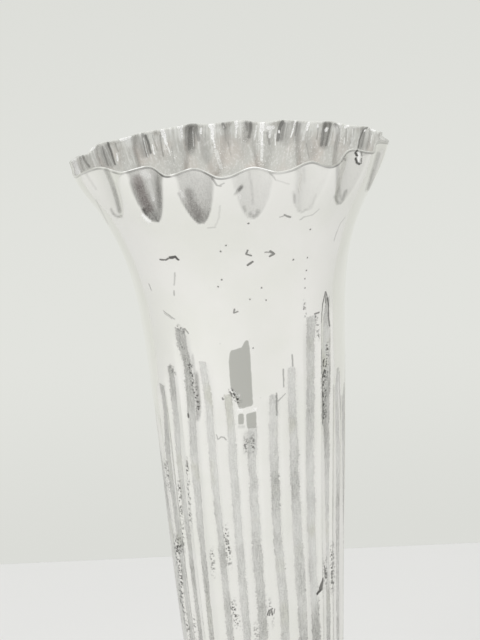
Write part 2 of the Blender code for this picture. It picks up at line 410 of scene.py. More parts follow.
# Lobes that are seen edge-on at the mouth's two ends, as a turn in degrees and a height
rimPlaced = {
    -3: (-74, 0.2742), -3.5: (-80, 0.2757), -4: (-87, 0.2767), -4.5: (-97, 0.2766),
    3.5: (70, 0.2785), 4: (84, 0.2766), 4.5: (93, 0.2773), 5: (100, 0.2776), 5.5: (105, 0.2780),
}

# The ovals pressed in below the inward lobes, which name them. Tips are pixels of the photograph, shallow
# holds the depths of those pressed in less, aside is how far a top is beside its lobe, and tone is how
# tarnished an oval is at its top and at its tip.
ovals = {
    "length": 0.0170, "width": 0.74, "shoulder": 0.25, "taper": 2.4, "fullness": 0.56,
    "hollow": 1.5, "fall": (3, 0.8), "sideFade": 0.2, "tipFade": 0.05, "edge": 0.02,
    "tips": {-2.5: (119, 219), -1.5: (156.5, 223.5), -0.5: (201.5, 225), 0.5: (253, 220),
             1.5: (303, 213), 2.5: (338.5, 205.5), 3.5: (366, 192)},
    "shallow": {-3.5: 0.15, -4.5: 0.4, 3.5: 0.8, 4.5: 0.67, 5.5: 0.7},
    "aside": {-0.5: math.radians(1.3)},
    "plainTone": (0.35, 0.5),
    "tone": {-2.5: (0.05, 0.20), -1.5: (0.62, 1.0), -0.5: (0.42, 1.0), 0.5: (0.22, 0.46),
             1.5: (0.06, 0.26), 2.5: (0.24, 0.42), 3.5: (0.15, 0.25)},
}

# Sideways sway of the hand-raised body, by height, taken as one smooth curve
sway = {
    "heights": (0.094, 0.13, 0.16, 0.18, 0.20, 0.215, 0.23, 0.24, 0.25, 0.26, 0.27, 0.28),
    "shifts": (0.0, 0.0005, 0.0007, 0.0009, 0.0012, 0.0012, 0.0009, 0.0007, 0.0003, 0.0001, 0.0, 0.0),
    "middle": 0.18,
}
swayCurve = np.polyfit(np.array(sway["heights"]) - sway["middle"], sway["shifts"], 5)


def swayAt(z):
    return np.polyval(swayCurve, z - sway["middle"])


def trumpetRadius(z):
    top = cadHigh.z
    swell = max((z - trumpet["waistHeight"]) / trumpet["bodyLength"], 0.0) ** trumpet["swell"]
    above = (z - (top - trumpet["flareDrop"])) / trumpet["flareBlend"]
    flare = math.tan(trumpet["flareAngle"]) * trumpet["flareBlend"] * math.log1p(math.exp(above))
    lip = max(1.0 - (top - z) / trumpet["lipLength"], 0.0)
    radius = trumpet["waist"] + (trumpet["body"] - trumpet["waist"]) * swell + flare
    return radius - trumpet["lipDraw"] * lip * lip


# Turn and height on the trumpet's near wall, or on one sunk below it, of what shows at a pixel
def onWall(x, y, sunk=0.0):
    point = onCylinder(x, y, trumpetRadius(0.2))
    for step in range(12):
        z = min(max(point.z, 0.08), cadHigh.z)
        side = float(swayAt(z)) / pixel
        point = onCylinder(x - side, y, trumpetRadius(z) - sunk)
    return turnOf(point), point.z


# Turn, height and number of each outward and inward lobe of the rim, in order round the mouth
def rimLobes():
    found = []
    outer = trumpetRadius(cadHigh.z)
    for half in range(2 * trumpet["crimps"]):
        lobe = half / 2 - trumpet["crimps"] / 2 + 0.5
        outward = lobe == int(lobe)
        turn = trumpet["crimpTurn"] + lobe * math.tau / trumpet["crimps"]
        front = 0.5 + 0.5 * math.cos(turn)
        lift = -trumpet["rimBackRise"] + (trumpet["rimFrontDrop"] + trumpet["rimBackRise"]) * front
        height = cadHigh.z - trumpet["rimBelowTop"] + lift * (-0.5 if outward else 0.5)
        if lobe in rimSeen:
            radius = outer - (0.0 if outward else trumpet["crimpDepth"])
            point = onCylinder(*rimSeen[lobe], radius, far=abs(lobe) > rimFirstBack)
            turn, height = turnOf(point), point.z
        if lobe in rimPlaced:
            turn, height = math.radians(rimPlaced[lobe][0]), rimPlaced[lobe][1]
        found.append((turn, min(height, trumpet["rimTop"]), lobe))
    return sorted(found)


lobes = rimLobes()


# The rim's height at any turn
def rimHeight(turn):
    turns = np.array([lobe[0] for lobe in lobes])
    heights = np.array([lobe[1] for lobe in lobes])
    after = np.searchsorted(turns, turn) % len(turns)
    before = (after - 1) % len(turns)
    step = ease((turn - turns[before]) % math.tau / ((turns[after] - turns[before]) % math.tau))
    return heights[before] + (heights[after] - heights[before]) * step


# The turn and height of an oval's tip: as the photograph shows it, or straight below its lobe
def ovalTip(lobe, middle, height, room):
    if lobe in ovals["tips"]:
        turn, tipHeight = onWall(*ovals["tips"][lobe])
        if abs(wrapped(turn - middle)) <= room:
            return turn, tipHeight
    return middle, height - ovals["length"]


# How the ovals shape each point: depth, hollow part, which oval it is in, and how far down that one
def pressedOvals(turn, z):
    depth = np.zeros_like(turn)
    hollow = np.zeros_like(turn)
    which = np.full(turn.shape, -99.0)
    fallen = np.zeros_like(turn)
    for i, (middle, height, lobe) in enumerate(lobes):
        if lobe == int(lobe):
            continue
        room = 0.5 * ((lobes[(i + 1) % len(lobes)][0] - lobes[i - 1][0]) % math.tau)
        middle += ovals["aside"].get(lobe, 0.0)
        tipTurn, tipHeight = ovalTip(lobe, middle, height, room)
        down = np.clip((height - z) / (height - tipHeight), 0.0, 1.0)
        width = ovals["width"] * np.maximum(1.0 - down ** ovals["taper"], 0.0) ** ovals["fullness"]
        width += (1.0 - ovals["width"]) * np.clip(1.0 - down / ovals["shoulder"], 0.0, 1.0) ** 2
        across = wrapped(turn - middle - (tipTurn - middle) * down) / (room * np.maximum(width, 1e-3))
        across = np.minimum(np.abs(across), 1.0)
        power, last = ovals["fall"]
        press = (1.0 - across ** 2) ** ovals["hollow"] * (1.0 - down ** power) ** last
        depth = np.maximum(depth, press * trumpet["crimpDepth"] * ovals["shallow"].get(lobe, 1.0))
        inside = ease((1.0 - across) / ovals["sideFade"]) * ease((1.0 - down) / ovals["tipFade"])
        which = np.where(inside > ovals["edge"], lobe, which)
        fallen = np.where(inside > ovals["edge"], down, fallen)
        hollow = np.maximum(hollow, inside)
    return depth, hollow, which, fallen


# Flute number (0 is the one nearest the front) and place across it, from -0.5 to 0.5
def fluteAt(turn, z):
    high = ease((z - trumpet["wanderFrom"]) / (cadHigh.z - trumpet["wanderFrom"]))
    bump = np.exp(-((turn - trumpet["wanderAt"]) / trumpet["wanderWidth"]) ** 2)
    straight = turn - bump * (trumpet["wanderTurn"] + trumpet["wanderMore"] * high)
    number = (straight - trumpet["fluteTurn"]) / math.tau * trumpet["flutes"] + 0.5
    return np.round(number), number - np.round(number)


# The tarnished stripes of the flutes that show, by flute number. Each is a short list of places down the
# stripe, as (x, y, half width, darkness), in pixels of the photograph.
stripes = {
    -6: [(155.2, 396, 1.2, 0.3), (159.2, 430, 1.6, 0.25), (163, 460, 1.1, 0.4), (173.5, 542, 0.7, 0.3),
         (181, 600, 0.8, 0.3)],
    -5: [(164.2, 383.5, 2.1, 0.5), (167.4, 430, 1.6, 0.5), (169.6, 460, 1.4, 0.45), (180, 542, 1.7, 0.5),
         (187, 600, 1.3, 0.5)],
    -4: [(172.8, 365.7, 2.9, 0.75), (173.4, 390, 2.7, 0.6), (177.8, 430, 2.4, 0.4),
         (179.8, 460, 2.1, 0.35), (189.4, 542, 1.7, 0.55), (196.2, 600, 1.7, 0.65)],
    -3: [(181, 327, 4.6, 0.75), (182.8, 347, 4.8, 0.7), (187.6, 364, 4, 0.85), (191.4, 400, 4.4, 0.65),
         (193.2, 430, 3.4, 0.4), (195, 460, 3.8, 0.35), (202.4, 542, 2.7, 0.5), (208, 600, 2.1, 0.6)],
    -2: [(203, 360.5, 3.3, 0.3), (208.4, 400, 3.8, 0.2), (213, 460, 3.7, 0.15), (220.4, 530, 3.6, 0.5),
         (227.2, 600, 3.6, 0.5)],
    -1: [(228, 393.8, 3.6, 0.2), (233.2, 460, 4, 0.2), (238.6, 530, 4, 0.5), (244.4, 600, 3.9, 0.4)],
    0: [(252.2, 425, 4.2, 0.2), (252, 460, 4, 0.3), (256.5, 540, 4.4, 0.4), (261.3, 600, 4.5, 0.4)],
    1: [(273.1, 393.8, 3.7, 0.15), (273.4, 450, 3.8, 0.25), (275.4, 488, 3.8, 0.65),
        (275.8, 515, 3.8, 0.3), (283.2, 600, 3.8, 0.4)],
    2: [(290.2, 366.3, 3.2, 0.25), (293.6, 440, 3.7, 0.35), (295, 485, 3.8, 0.6), (296.5, 520, 3.8, 0.25),
        (301.4, 600, 3.9, 0.35), (303.5, 635, 3.9, 0.75)],
    3: [(310, 315, 3.9, 0.35), (309.8, 460, 3.9, 0.35), (310.8, 495, 3.9, 0.45), (311.5, 530, 3.8, 0.15),
        (314, 595, 3.5, 0.3), (315.8, 625, 3.6, 0.85)],
    4: [(325.5, 297, 2, 0.8), (325.5, 345, 3.8, 0.4), (325.5, 420, 3.4, 0.85), (326.6, 460, 2, 0.6),
        (327.2, 530, 1.2, 0.25), (328.2, 620, 1.5, 0.6)],
    5: [(335.3, 367.6, 1.4, 0.4), (336.8, 460, 1, 0.4), (337, 600, 1.1, 0.4)],
    6: [(341.6, 381.6, 0.6, 0.45), (341.8, 460, 0.5, 0.4), (342, 600, 0.6, 0.4)],
}

# The stripes at the back: half width as a share of a flute, darkness, and how both vary from flute to flute
plainStripe = {"half": 0.195, "halfVaries": 0.02, "dark": 0.5, "darkVaries": 0.3}


# For each point: height of the stripe's top, the point's place across it (1 is its edge) and its darkness
def stripeLooks(number, across, z):
    count = trumpet["flutes"]
    sunk = trumpet["fluteDepth"]
    number = (number + count / 2) % count - count / 2
    top = trumpet["fluteTop"] + trumpet["fluteTopVaries"] * np.sin(number * 2.1)
    place = np.abs(across) / (plainStripe["half"] + plainStripe["halfVaries"] * np.sin(number * 1.7))
    dark = plainStripe["dark"] + plainStripe["darkVaries"] * np.sin(number * 2.9)
    for flute, spots in stripes.items():
        heights, middles, halves, darks = [], [], [], []
        for x, y, half, darkness in reversed(spots):
            turn, height = onWall(x, y, sunk)
            left, right = onWall(x - half, y, sunk)[0], onWall(x + half, y, sunk)[0]
            seen, part = fluteAt(np.array(turn), np.array(height))
            heights.append(height)
            middles.append(float(seen + part) - flute)
            halves.append((right - left) / 2 / math.tau * count)
            darks.append(darkness)
        mine = number == flute
        aside = np.abs(across - np.interp(z, heights, middles))
        place = np.where(mine, aside / np.interp(z, heights, halves), place)
        dark = np.where(mine, np.interp(z, heights, darks), dark)
        top = np.where(mine, heights[-1], top)
    return top, place, dark


# Soft patches on the near wall: tarnish, pitting, and painted highlights that stand in for bright
# reflections in the metal, as (strength, half width, points of a line), all in pixels of the photograph
wallSoftPatches = {
    "grey": [
        (0.75, 3.2, (106.5, 170), (112, 183), (116.6, 199), (119.5, 211)), (0.35, 2, (86, 174), (96, 189)),
        (0.4, 4, (157, 172), (159, 190), (158, 210)), (0.3, 3, (338.5, 162), (337.5, 196)),
        (0.65, 3.2, (378.5, 154), (374, 170), (368.5, 189)),
        (0.3, 2, (293.5, 192), (296, 206), (302, 211)), (0.2, 2, (302, 211), (311, 208), (315, 198)),
        (0.12, 9, (302, 172), (303, 200)), (0.45, 1.6, (192.6, 356), (194.6, 372)),
        (0.75, 3, (195.8, 374), (198.4, 402), (197.8, 418)),
    ],
    "brown": [
        (0.85, 6.5, (137.5, 180), (142, 194), (148, 208)), (0.35, 5, (188, 192), (190, 204)),
        (0.35, 7, (192, 206), (199, 215)),
    ],
    "dark": [
        (0.22, 2, (114, 188), (117.5, 200), (120, 212)),
        (0.45, 1.5, (111, 209), (113.5, 214), (117.5, 217), (121.5, 216)),
        (0.45, 5.5, (148, 208), (154, 216)), (0.6, 1.5, (146, 214), (151, 218.8), (158, 220.5)),
        (0.85, 2, (143.4, 210), (146.2, 214.2)), (0.28, 1.5, (130.5, 182), (134, 193), (139, 204)),
        (0.26, 6, (139, 186), (146, 206)), (0.12, 3, (158, 178), (158.5, 208)),
        (0.3, 5.5, (190, 193), (195, 208), (200, 218)), (0.16, 6, (196, 210), (204, 215)),
        (0.42, 1.4, (178.6, 193), (183, 203), (191, 214.5), (200, 222.5)),
        (0.26, 1.4, (200, 222.5), (206, 218.5), (210.5, 209)), (0.72, 2.4, (241.5, 187), (238.4, 190.4)),
        (0.35, 1.6, (237, 192), (235, 194)), (0.16, 1.6, (249, 172), (251.5, 186), (253, 203)),
        (0.3, 1.8, (243.9, 207), (245.5, 210.5)), (0.36, 3.2, (251, 214), (254, 216), (258, 211.5)),
        (0.12, 1.6, (232.5, 177), (235, 188)), (0.34, 1.6, (294.4, 195), (294.6, 202)),
        (0.24, 1.2, (297.5, 210.5), (302, 212), (307.5, 209)),
        (0.12, 1.2, (315.5, 195), (312.5, 204), (308, 210)), (0.1, 1.5, (304, 169), (304.5, 182)),
        (0.26, 2.2, (337.5, 166), (338, 184), (340, 197)),
        (0.45, 1.5, (334.5, 196.5), (338, 203), (341, 203)), (0.45, 2, (346, 191), (342.4, 200)),
        (0.22, 1.3, (373, 170), (368, 189)), (0.62, 1.2, (377.5, 140.6), (383, 139.9), (388, 141.5)),
        (0.2, 1, (96, 200), (108, 224)), (0.3, 3.6, (246, 446), (255, 447)),
        (0.2, 2.2, (197, 376), (199, 404)), (0.14, 3, (247, 432), (255, 434)),
        (0.25, 1.6, (239, 427), (244, 426.6)),
    ],
    # Painted highlights, standing in for bright reflections in the metal
    "shine": [
        (0.35, 4.5, (144, 173), (148, 176)), (0.22, 2.4, (149.5, 182), (153, 198)),
        (0.5, 1, (153.4, 198.6), (153.6, 200.5)), (0.95, 1.6, (142.6, 215), (147, 220), (150, 221.6)),
        (0.4, 1.6, (181, 191), (184, 197)), (0.4, 1.2, (239, 194), (240.5, 198)),
        (0.4, 1.3, (252, 212.4), (254.5, 213)), (0.6, 1, (238, 410.6), (247, 407.6), (256, 408.8)),
        (0.9, 1.1, (358.6, 152.5), (358.6, 163)), (0.45, 1.3, (232, 391), (240, 397)),
    ],
    "pitted": [
        (1, 2, (166, 465), (168.5, 482)), (0.9, 1.8, (187, 466), (189, 496), (191, 526)),
        (0.8, 2, (179, 482), (181, 512), (183, 541)), (1, 2.6, (174, 541), (183, 548)),
        (0.9, 2.8, (176, 545), (180, 570), (182, 602)), (0.8, 2.4, (184, 612), (190, 638)),
        (0.8, 1.6, (194, 622), (196, 638)), (0.9, 3, (226, 534), (230, 563)),
        (0.6, 3, (212, 553), (213, 570)), (0.9, 4, (233, 608), (238, 624)),
        (0.7, 3.4, (254, 624), (258, 637)), (1, 2.4, (332, 547), (333, 588)),
        (0.9, 2.2, (324.7, 560), (325.5, 578)), (0.8, 1.5, (304, 302), (305.4, 316)),
        (0.7, 1.8, (316.5, 316), (318.7, 338)), (1, 3.2, (231, 391), (239, 402)),
        (1, 3, (250, 437), (254, 449)), (0.9, 3, (244, 436), (248, 452)),
        (0.8, 2.4, (327.5, 345), (326, 380)), (1, 3, (323.5, 360), (324, 424)),
        (0.6, 2.5, (178, 327), (183, 331)), (0.8, 3, (190, 365), (199, 412)),
        (0.5, 3, (171, 366), (174, 374)), (1, 3.4, (269.6, 609.5), (272, 616)),
    ],
}

# Crisp grey patches of painted reflection, as convex outlines in pixels of the photograph
reflectionPatches = [
    [(228.8, 362), (229.8, 352), (232.5, 349.6), (241.6, 347.4), (249.4, 345), (250.6, 360), (253, 405.5),
     (239.6, 409.5), (230.4, 386)],
    [(240.6, 349), (245.6, 340.2), (248.4, 340.4), (249.6, 350)],
    [(238.2, 413.5), (243.8, 413.5), (243.8, 424.4), (238.4, 424.4)],
    [(246, 414), (256, 411.5), (256.6, 428), (247, 428.4)],
]

# Soft patches on the mouth's far lining: grey and dark ones are painted dark reflections, brown ones
# warm streaks, and the rest painted highlights and glitter
mouthSoftPatches = {
    # Painted dark reflections in the outward lobes
    "grey": [
        (0.45, 2.6, (82, 157), (88, 167)), (0.62, 4.2, (101, 149), (106, 166)),
        (0.8, 3.6, (107, 146), (112, 165)), (0.25, 4, (94, 156), (96, 165)),
        (0.35, 3.4, (134.5, 139), (137, 145)), (0.62, 4.2, (139.5, 139), (144, 155)),
        (0.75, 3.6, (144.5, 136), (148, 153)), (0.2, 7, (170, 135), (176, 148)),
        (0.95, 7.2, (190.5, 127), (190.5, 149)), (0.5, 4, (206, 148), (208, 160)),
        (0.42, 6, (226, 124), (229, 142)), (0.75, 5.5, (248, 124), (246.5, 139)),
        (0.25, 8, (240, 142), (243, 152)), (0.8, 6, (282.5, 124), (281, 139)),
        (0.5, 5.5, (288.5, 126), (286, 142)), (0.6, 4.6, (298.5, 124), (295.5, 139)),
        (0.95, 5.6, (327.5, 124), (324, 145)), (0.35, 2.6, (333, 125), (330.5, 137)),
        (0.9, 4, (363.5, 129), (360.5, 148)), (0.35, 3.5, (368, 134), (366.5, 146)),
        (0.4, 6, (308, 143), (312, 152)),
    ],
    "brown": [
        (0.25, 2.5, (158, 142), (160, 158)), (0.25, 3, (201, 136), (202, 158)),
        (0.15, 3, (352, 128), (349, 146)), (0.15, 3, (120, 150), (122, 162)),
    ],
    # Painted dark reflections, the deepest ones
    "dark": [
        (0.12, 3.5, (104, 150), (109, 164)), (0.22, 3.2, (142.5, 144), (146, 154)),
        (0.28, 5.4, (190.5, 128), (191, 143)), (0.22, 4, (325, 128), (323, 143)),
        (0.12, 4, (281, 124), (279, 136)), (0.14, 3, (362.5, 134), (360.5, 146)),
    ],
    # Painted highlights
    "shine": [
        (0.85, 4, (73.5, 158), (78, 173)), (0.5, 2.6, (130, 139), (131.5, 145)),
        (0.45, 2.4, (163.5, 130), (166, 138)), (0.4, 2.6, (178.5, 127), (182, 138)),
        (0.55, 3.4, (212.5, 124), (214.5, 131)), (0.6, 2.4, (266, 124), (265.5, 130)),
        (0.3, 3.5, (271.5, 124), (271.5, 132)), (0.3, 2.2, (303.5, 125), (302.5, 133)),
        (0.35, 1.8, (336.4, 125), (334.6, 140)), (0.25, 2.2, (221.5, 128), (222, 134)),
    ],
    # Zones of painted glitter: bright specks that stand in for sparkling highlights
    "glints": [
        (1, 7, (168, 150), (178, 164)), (1, 7, (216, 150), (222, 170)), (1, 8, (262, 142), (260, 164)),
        (0.8, 5, (120, 150), (124, 164)), (0.8, 6, (240, 124), (242, 140)),
        (0.7, 8, (296, 144), (300, 158)), (0.9, 4, (343, 126), (340, 144)),
        (0.5, 8, (130, 140), (134, 156)), (0.6, 6, (312, 138), (314, 156)),
    ],
}

# Painted dark reflections as streaks, and painted highlights along the ridges, on the same lining, drawn
# crisply by the finish
mouthDarkReflections = [
    (0.4, 1.3, (82.3, 156), (89.5, 166.5)), (0.38, 1.3, (102.5, 147), (108, 165)),
    (0.6, 1.5, (108, 143.5), (111.5, 152), (114.8, 163.5)), (0.3, 0.5, (115.6, 143), (118.8, 152)),
    (0.3, 1.8, (142.5, 134.5), (145, 145), (147.5, 156)),
    (0.62, 1.5, (145.6, 136), (148.4, 143), (150.6, 152.5)), (0.3, 0.5, (152.6, 135), (157, 150)),
    (0.35, 0.7, (160.2, 135), (163.5, 156)), (0.32, 2.4, (190.4, 129), (189.4, 148)),
    (0.4, 1.6, (196, 125), (198.6, 140)), (0.22, 1.2, (186, 128), (186, 145)),
    (0.22, 2.2, (192.8, 128), (193.5, 147)), (0.25, 0.6, (205.5, 127), (205, 142)),
    (0.45, 1.6, (222.6, 123.5), (224.3, 128)), (0.2, 1.2, (224.5, 128), (226, 140)),
    (0.42, 1.7, (250.8, 123), (250.6, 129), (249, 137)), (0.22, 1.4, (245.5, 122.5), (247.5, 130)),
    (0.3, 1.2, (267.4, 133), (269.5, 144)), (0.52, 1.9, (282.6, 122), (279.6, 128), (277.8, 140)),
    (0.28, 1.6, (284.5, 124), (281.5, 139)), (0.22, 0.6, (287.6, 124), (285.4, 138)),
    (0.36, 1.4, (297.4, 122.5), (295, 135)), (0.18, 1.2, (300, 124), (297.4, 136)),
    (0.4, 0.5, (318.4, 127), (317.2, 139.5)), (0.36, 1.7, (325.4, 123.5), (322.6, 132), (321.5, 145)),
    (0.45, 1.5, (330.5, 124), (328.5, 134), (326, 145)), (0.35, 0.6, (353.4, 129), (350.5, 144)),
    (0.25, 0.6, (346.5, 129), (345, 144)), (0.3, 1, (339.8, 129), (338.8, 143)),
    (0.58, 1.2, (366.4, 126.4), (362.8, 131), (359.4, 140), (358.3, 147)),
    (0.22, 1.4, (364.4, 133), (361.6, 146)), (0.3, 0.6, (371.5, 134), (369.5, 145)),
    (0.25, 0.7, (306.5, 144), (309, 158)), (0.22, 0.6, (228, 142), (231, 156)),
    (0.22, 0.6, (171.5, 147), (174.5, 163)),
]
# Painted highlights along the lining's ridges
mouthRidgeHighlights = [
    (1, 1.6, (89.5, 149.5), (95, 146.5)), (0.6, 0.6, (91.5, 152), (95, 166)),
    (1, 0.9, (117.2, 154), (117.6, 160.5)), (0.5, 0.5, (105.6, 148), (113, 165)),
    (1, 1.8, (121, 140), (130, 136)), (0.5, 2.5, (126, 139), (128, 145)),
    (0.6, 0.6, (143.6, 138), (148.2, 157)), (1, 0.8, (152.6, 145), (154.2, 154)),
    (0.5, 0.5, (156, 134), (157.2, 146)), (1, 2.2, (162.6, 131), (164, 136)),
    (1, 1.3, (164, 136), (166.6, 144)), (0.7, 0.9, (166.6, 144), (170, 153)),
    (1, 2.3, (178.5, 127), (181.5, 126.5)), (1, 1.4, (181.4, 128), (182.4, 138)),
    (0.5, 0.5, (193, 127), (193.8, 146)), (1, 1.2, (201, 128.5), (200.8, 133)),
    (1, 3.2, (211, 125.5), (212.6, 127)), (1, 1.9, (212, 128), (212.8, 138)),
    (0.9, 1.2, (213, 138), (214.8, 147)), (0.55, 2.4, (216, 151), (221, 167)),
    (0.7, 0.8, (223.3, 126), (223.8, 128)), (0.6, 0.7, (219.4, 129.5), (220.8, 134.5)),
    (1, 1.9, (236.2, 121.6), (236.6, 126)), (0.8, 1, (236.4, 126), (236, 137)),
    (0.7, 1.1, (257, 126), (254.4, 139)), (1, 2.8, (262.4, 123.5), (262, 130)),
    (1, 1.4, (262, 130), (261.8, 144)), (0.6, 1.6, (262, 144), (261.5, 160)),
    (1, 2.1, (268.4, 127.5), (273, 127.5)), (0.8, 1.3, (270.5, 128), (269.4, 137)),
    (0.8, 0.6, (274.9, 134), (275.4, 145)), (1, 1.1, (279, 131), (279.2, 132.3)),
    (1, 1.5, (295.8, 121), (294.4, 125)), (1, 0.9, (294.4, 125), (290.8, 137)),
    (1, 2, (308.4, 123.5), (306.6, 129)), (0.5, 1.8, (305.4, 130), (303, 139)),
    (1, 1, (317.7, 125), (317.6, 127)), (1, 1.5, (326.2, 130.4), (327, 128.6)),
    (0.5, 0.5, (333.5, 125), (328.4, 146)), (1, 1.7, (338.3, 123), (340.8, 124)),
    (0.8, 0.7, (337.5, 126), (336.8, 134)), (1, 1.4, (345, 127), (348.6, 126)),
    (0.6, 0.5, (341.5, 130), (339.6, 138)), (0.7, 0.6, (344.4, 138), (344, 144)),
    (0.6, 0.5, (347.8, 129), (347.2, 141)), (0.6, 0.6, (352.8, 129), (351.6, 146)),
    (1, 1, (364.2, 131), (365.6, 129.8)), (1, 1, (370, 129), (375, 130.4)),
    (0.9, 0.8, (371.8, 135.5), (370.5, 142)),
]

# How bright the painted highlight on the rim's edge is, and how dark the line below it is, across the
# picture, as (x, value)
rimLooks = {
    # Strength of the painted highlight along the rim's edge
    "rimLit": [
        (73, 0), (93, 0.1), (95, 0.6), (97, 0.2), (122, 0.3), (124.5, 1), (127, 0.4), (130, 1), (142, 1),
        (146, 0.3), (169, 0.3), (172.5, 1), (176, 0.3), (184, 0.4), (188, 1), (192, 0.3), (212, 0.5),
        (228, 0.4), (240, 0.3), (247, 1), (262, 0.9), (271, 1), (276, 0.2), (295, 0.3), (325, 0), (342, 0),
        (350, 0.4), (368, 0.4), (371, 0),
    ],
    "rimDark": [
        (73, 0.5), (98, 0.6), (103, 0.3), (111, 0.3), (113, 0.9), (117, 0.9), (120, 0.4), (142, 0.6),
        (158, 0.7), (160, 1), (169, 1), (172, 0.4), (180, 0.5), (205, 0.8), (230, 0.7), (245, 0.5),
        (262, 0.2), (275, 0.5), (300, 0.6), (325, 0.8), (329, 1), (336, 1), (340, 0.6), (346, 0.8),
        (376, 0.7),
    ],
}


def painting(x, y, softPatches):
    values = np.zeros(x.shape)
    for strength, width, *line in softPatches:
        values = np.maximum(values, strength * ease(1.25 - fromLine(x, y, line) / width))
    return values


def ovalTarnish(which, fallen):
    top, tip = ovals["plainTone"]
    strength = top + (tip - top) * fallen
    for lobe, (top, tip) in ovals["tone"].items():
        strength = np.where(which == lobe, top + (tip - top) * fallen, strength)
    return strength


# Each point's turn from a side's seam, and its height, which the crisp marks are placed by
def paintPlaces(data, name, around, height):
    layer = data.attributes.new(name, "FLOAT_VECTOR", "POINT")
    places = np.stack([around, height, np.zeros_like(height)], axis=-1)
    layer.data.foreach_set("vector", places.astype(np.float32).ravel())


# The slight unevenness of the hand-raised wall
def ripples(turn, z):
    fade = ease((z - trumpet["rippleFrom"]) / trumpet["rippleFade"])
    fade *= ease((trumpet["rippleTo"] - z) / trumpet["rippleFade"])
    return trumpet["ripple"] * np.sin(trumpet["rippleTurns"] * turn + trumpet["rippleRise"] * z) * fade


# Crimps the mouth, and presses ovals and flutes into the spun skin.
def pressTrumpet(data):
    points = pointsOf(data)
    z = points[:, 2].copy()
    turn, radius = roundAxis(points)
    turn = turn - trumpet["crowding"] * np.sin(turn)
    inner = radius < np.interp(z, wallHeights, wallRadii) - 0.6 * trumpet["sheet"]
    below = np.clip((cadHigh.z - z) / trumpet["lipLength"], 0.0, 1.0)
    rim = rimHeight(turn)
    height = z + (rim - cadHigh.z) * (1.0 - below) ** trumpet["lipFollows"]
    depth, hollow, which, fallen = pressedOvals(turn, height)
    number, across = fluteAt(turn, z)
    top, place, dark = stripeLooks(number, across, z)
    fluted = np.abs(np.cos(math.pi * across)) ** trumpet["fluteHollow"]
    fluted *= ease((z - trumpet["waistHeight"]) / trumpet["fluteEnd"])
    fluted *= ease((top - z) / trumpet["fluteFade"])
    radius -= depth + trumpet["fluteDepth"] * fluted
    radius += ripples(turn, z)
    points[:, 0] = radius * np.sin(turn) + swayAt(z)
    points[:, 1] = -radius * np.cos(turn)
    points[:, 2] = height
    setPoints(data, points)
    paint(data, "inside", inner.astype(float))
    paint(data, "oval", hollow * ovalTarnish(which, fallen) * ~inner)
    paint(data, "groove", 1.0 - 0.5 * place)
    paint(data, "stripeEnd", 0.5 + (top - z) / (2 * trumpet["fluteFade"]))
    paint(data, "stripeDark", dark)
    paint(data, "rimBand", 1.0 + (height - rim) / trumpet["rimBand"])
    return points, turn, inner


# Paints the tarnish, and the highlights, reflections and glints painted in as colour, that the photograph
# shows, and gives back what shows of the near wall and of the far lining, for the crisp marks.
def paintTarnishAndLight(data, points, turn, inner):
    x, y = seenAt(points)
    height = points[:, 2]
    front = np.abs(turn) < trumpet["nearTurn"]
    near = ~inner & front
    far = inner & (np.abs(turn) > trumpet["farTurn"])
    facing = ease((trumpet["paintTurn"] - np.abs(turn)) / trumpet["paintFade"])
    for name in ("grey", "brown", "dark", "shine", "pitted", "glints"):
        values = painting(x, y, wallSoftPatches.get(name, [])) * near * facing
        paint(data, name, np.maximum(values, painting(x, y, mouthSoftPatches.get(name, [])) * far))
    # Grey patches of painted reflection
    reflectionPatch = np.max([insideOutline(x, y, corners) for corners in reflectionPatches], axis=0)
    paint(data, "reflectionPatch", np.where(near, 0.5 + reflectionPatch / 12.0, 0.0))
    for name, spots in rimLooks.items():
        looks = np.interp(x, [spot[0] for spot in spots], [spot[1] for spot in spots])
        paint(data, name, np.where(front, looks, np.where(far, 0.0, trumpet["rimPlainLook"])))
    sides = []
    for name, seam, shows, way in (("wallPlace", 0.0, near, 1.0), ("liningPlace", math.pi, far, -1.0)):
        around = wrapped(turn - seam)
        paintPlaces(data, name, around, height)
        sides.append((name, x[shows], y[shows], around[shows], height[shows], way))
    return sides


wallHeights = np.array(spread(0.09, 0.28, 200))
wallRadii = np.array([trumpetRadius(z) for z in wallHeights])


def makeTrumpet():
    low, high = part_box("trumpet_body")
    lastRow = high.z - trumpet["lipRow"]
    heights = rows(low.z, (*trumpet["outerRows"], (lastRow, trumpet["outerRimRows"])))
    innerHeights = rows(low.z, (*trumpet["innerRows"], (lastRow, trumpet["innerRimRows"])))
    outer = [(trumpetRadius(z), z) for z in heights]
    inner = shifted([(trumpetRadius(z), z) for z in innerHeights], trumpet["sheet"])
    half, rise = trumpet["sheet"] / 2, trumpet["lipHeight"]
    middle = trumpetRadius(high.z) - half
    lip = [(middle + half * math.cos(a), high.z - rise + rise * math.sin(a))
           for a in spread(0.0, math.pi, 5)]
    mesh = spun(outer + lip + inner[::-1], trumpet["segments"])
    finish, tree, shader, at = newMaterial("trumpetSilver")
    made = finishedPiece("trumpet", mesh, finish, "trumpet_body", 60.0)
    sides = paintTarnishAndLight(made.data, *pressTrumpet(made.data))
    trumpetFinish(tree, shader, at, *sides)


# Silver plate: the clean metal, the tarnish left in its hollows, its marks, and painted highlight and
# reflection
silver = {
    "clean": shown(246, 245, 242), "dull": shown(242, 242, 237), "highlight": shown(254, 254, 253),
    "inside": shown(236, 236, 233), "insideDeep": shown(220, 220, 216), "insideLow": shown(201, 200, 196),
    "insideWarm": shown(212, 205, 199), "insideDark": shown(184, 183, 179),
    "stripe": shown(236, 236, 233), "stripeDark": shown(212, 212, 208), "stripeWarm": shown(226, 226, 218),
    "grain": shown(138, 137, 134), "paintedReflection": shown(192, 192, 187),
    "grey": shown(166, 165, 162), "brown": shown(136, 128, 126), "dark": shown(50, 48, 46),
    "roughness": 0.13, "tarnishRoughness": 0.32,
}

# The lining's streaks, and the heights over which they set in and its lower tones end
lining = {"streaks": (34.0, 60.0, 1.0), "high": (0.2700, 0.2790), "low": (0.2790, 0.2740)}

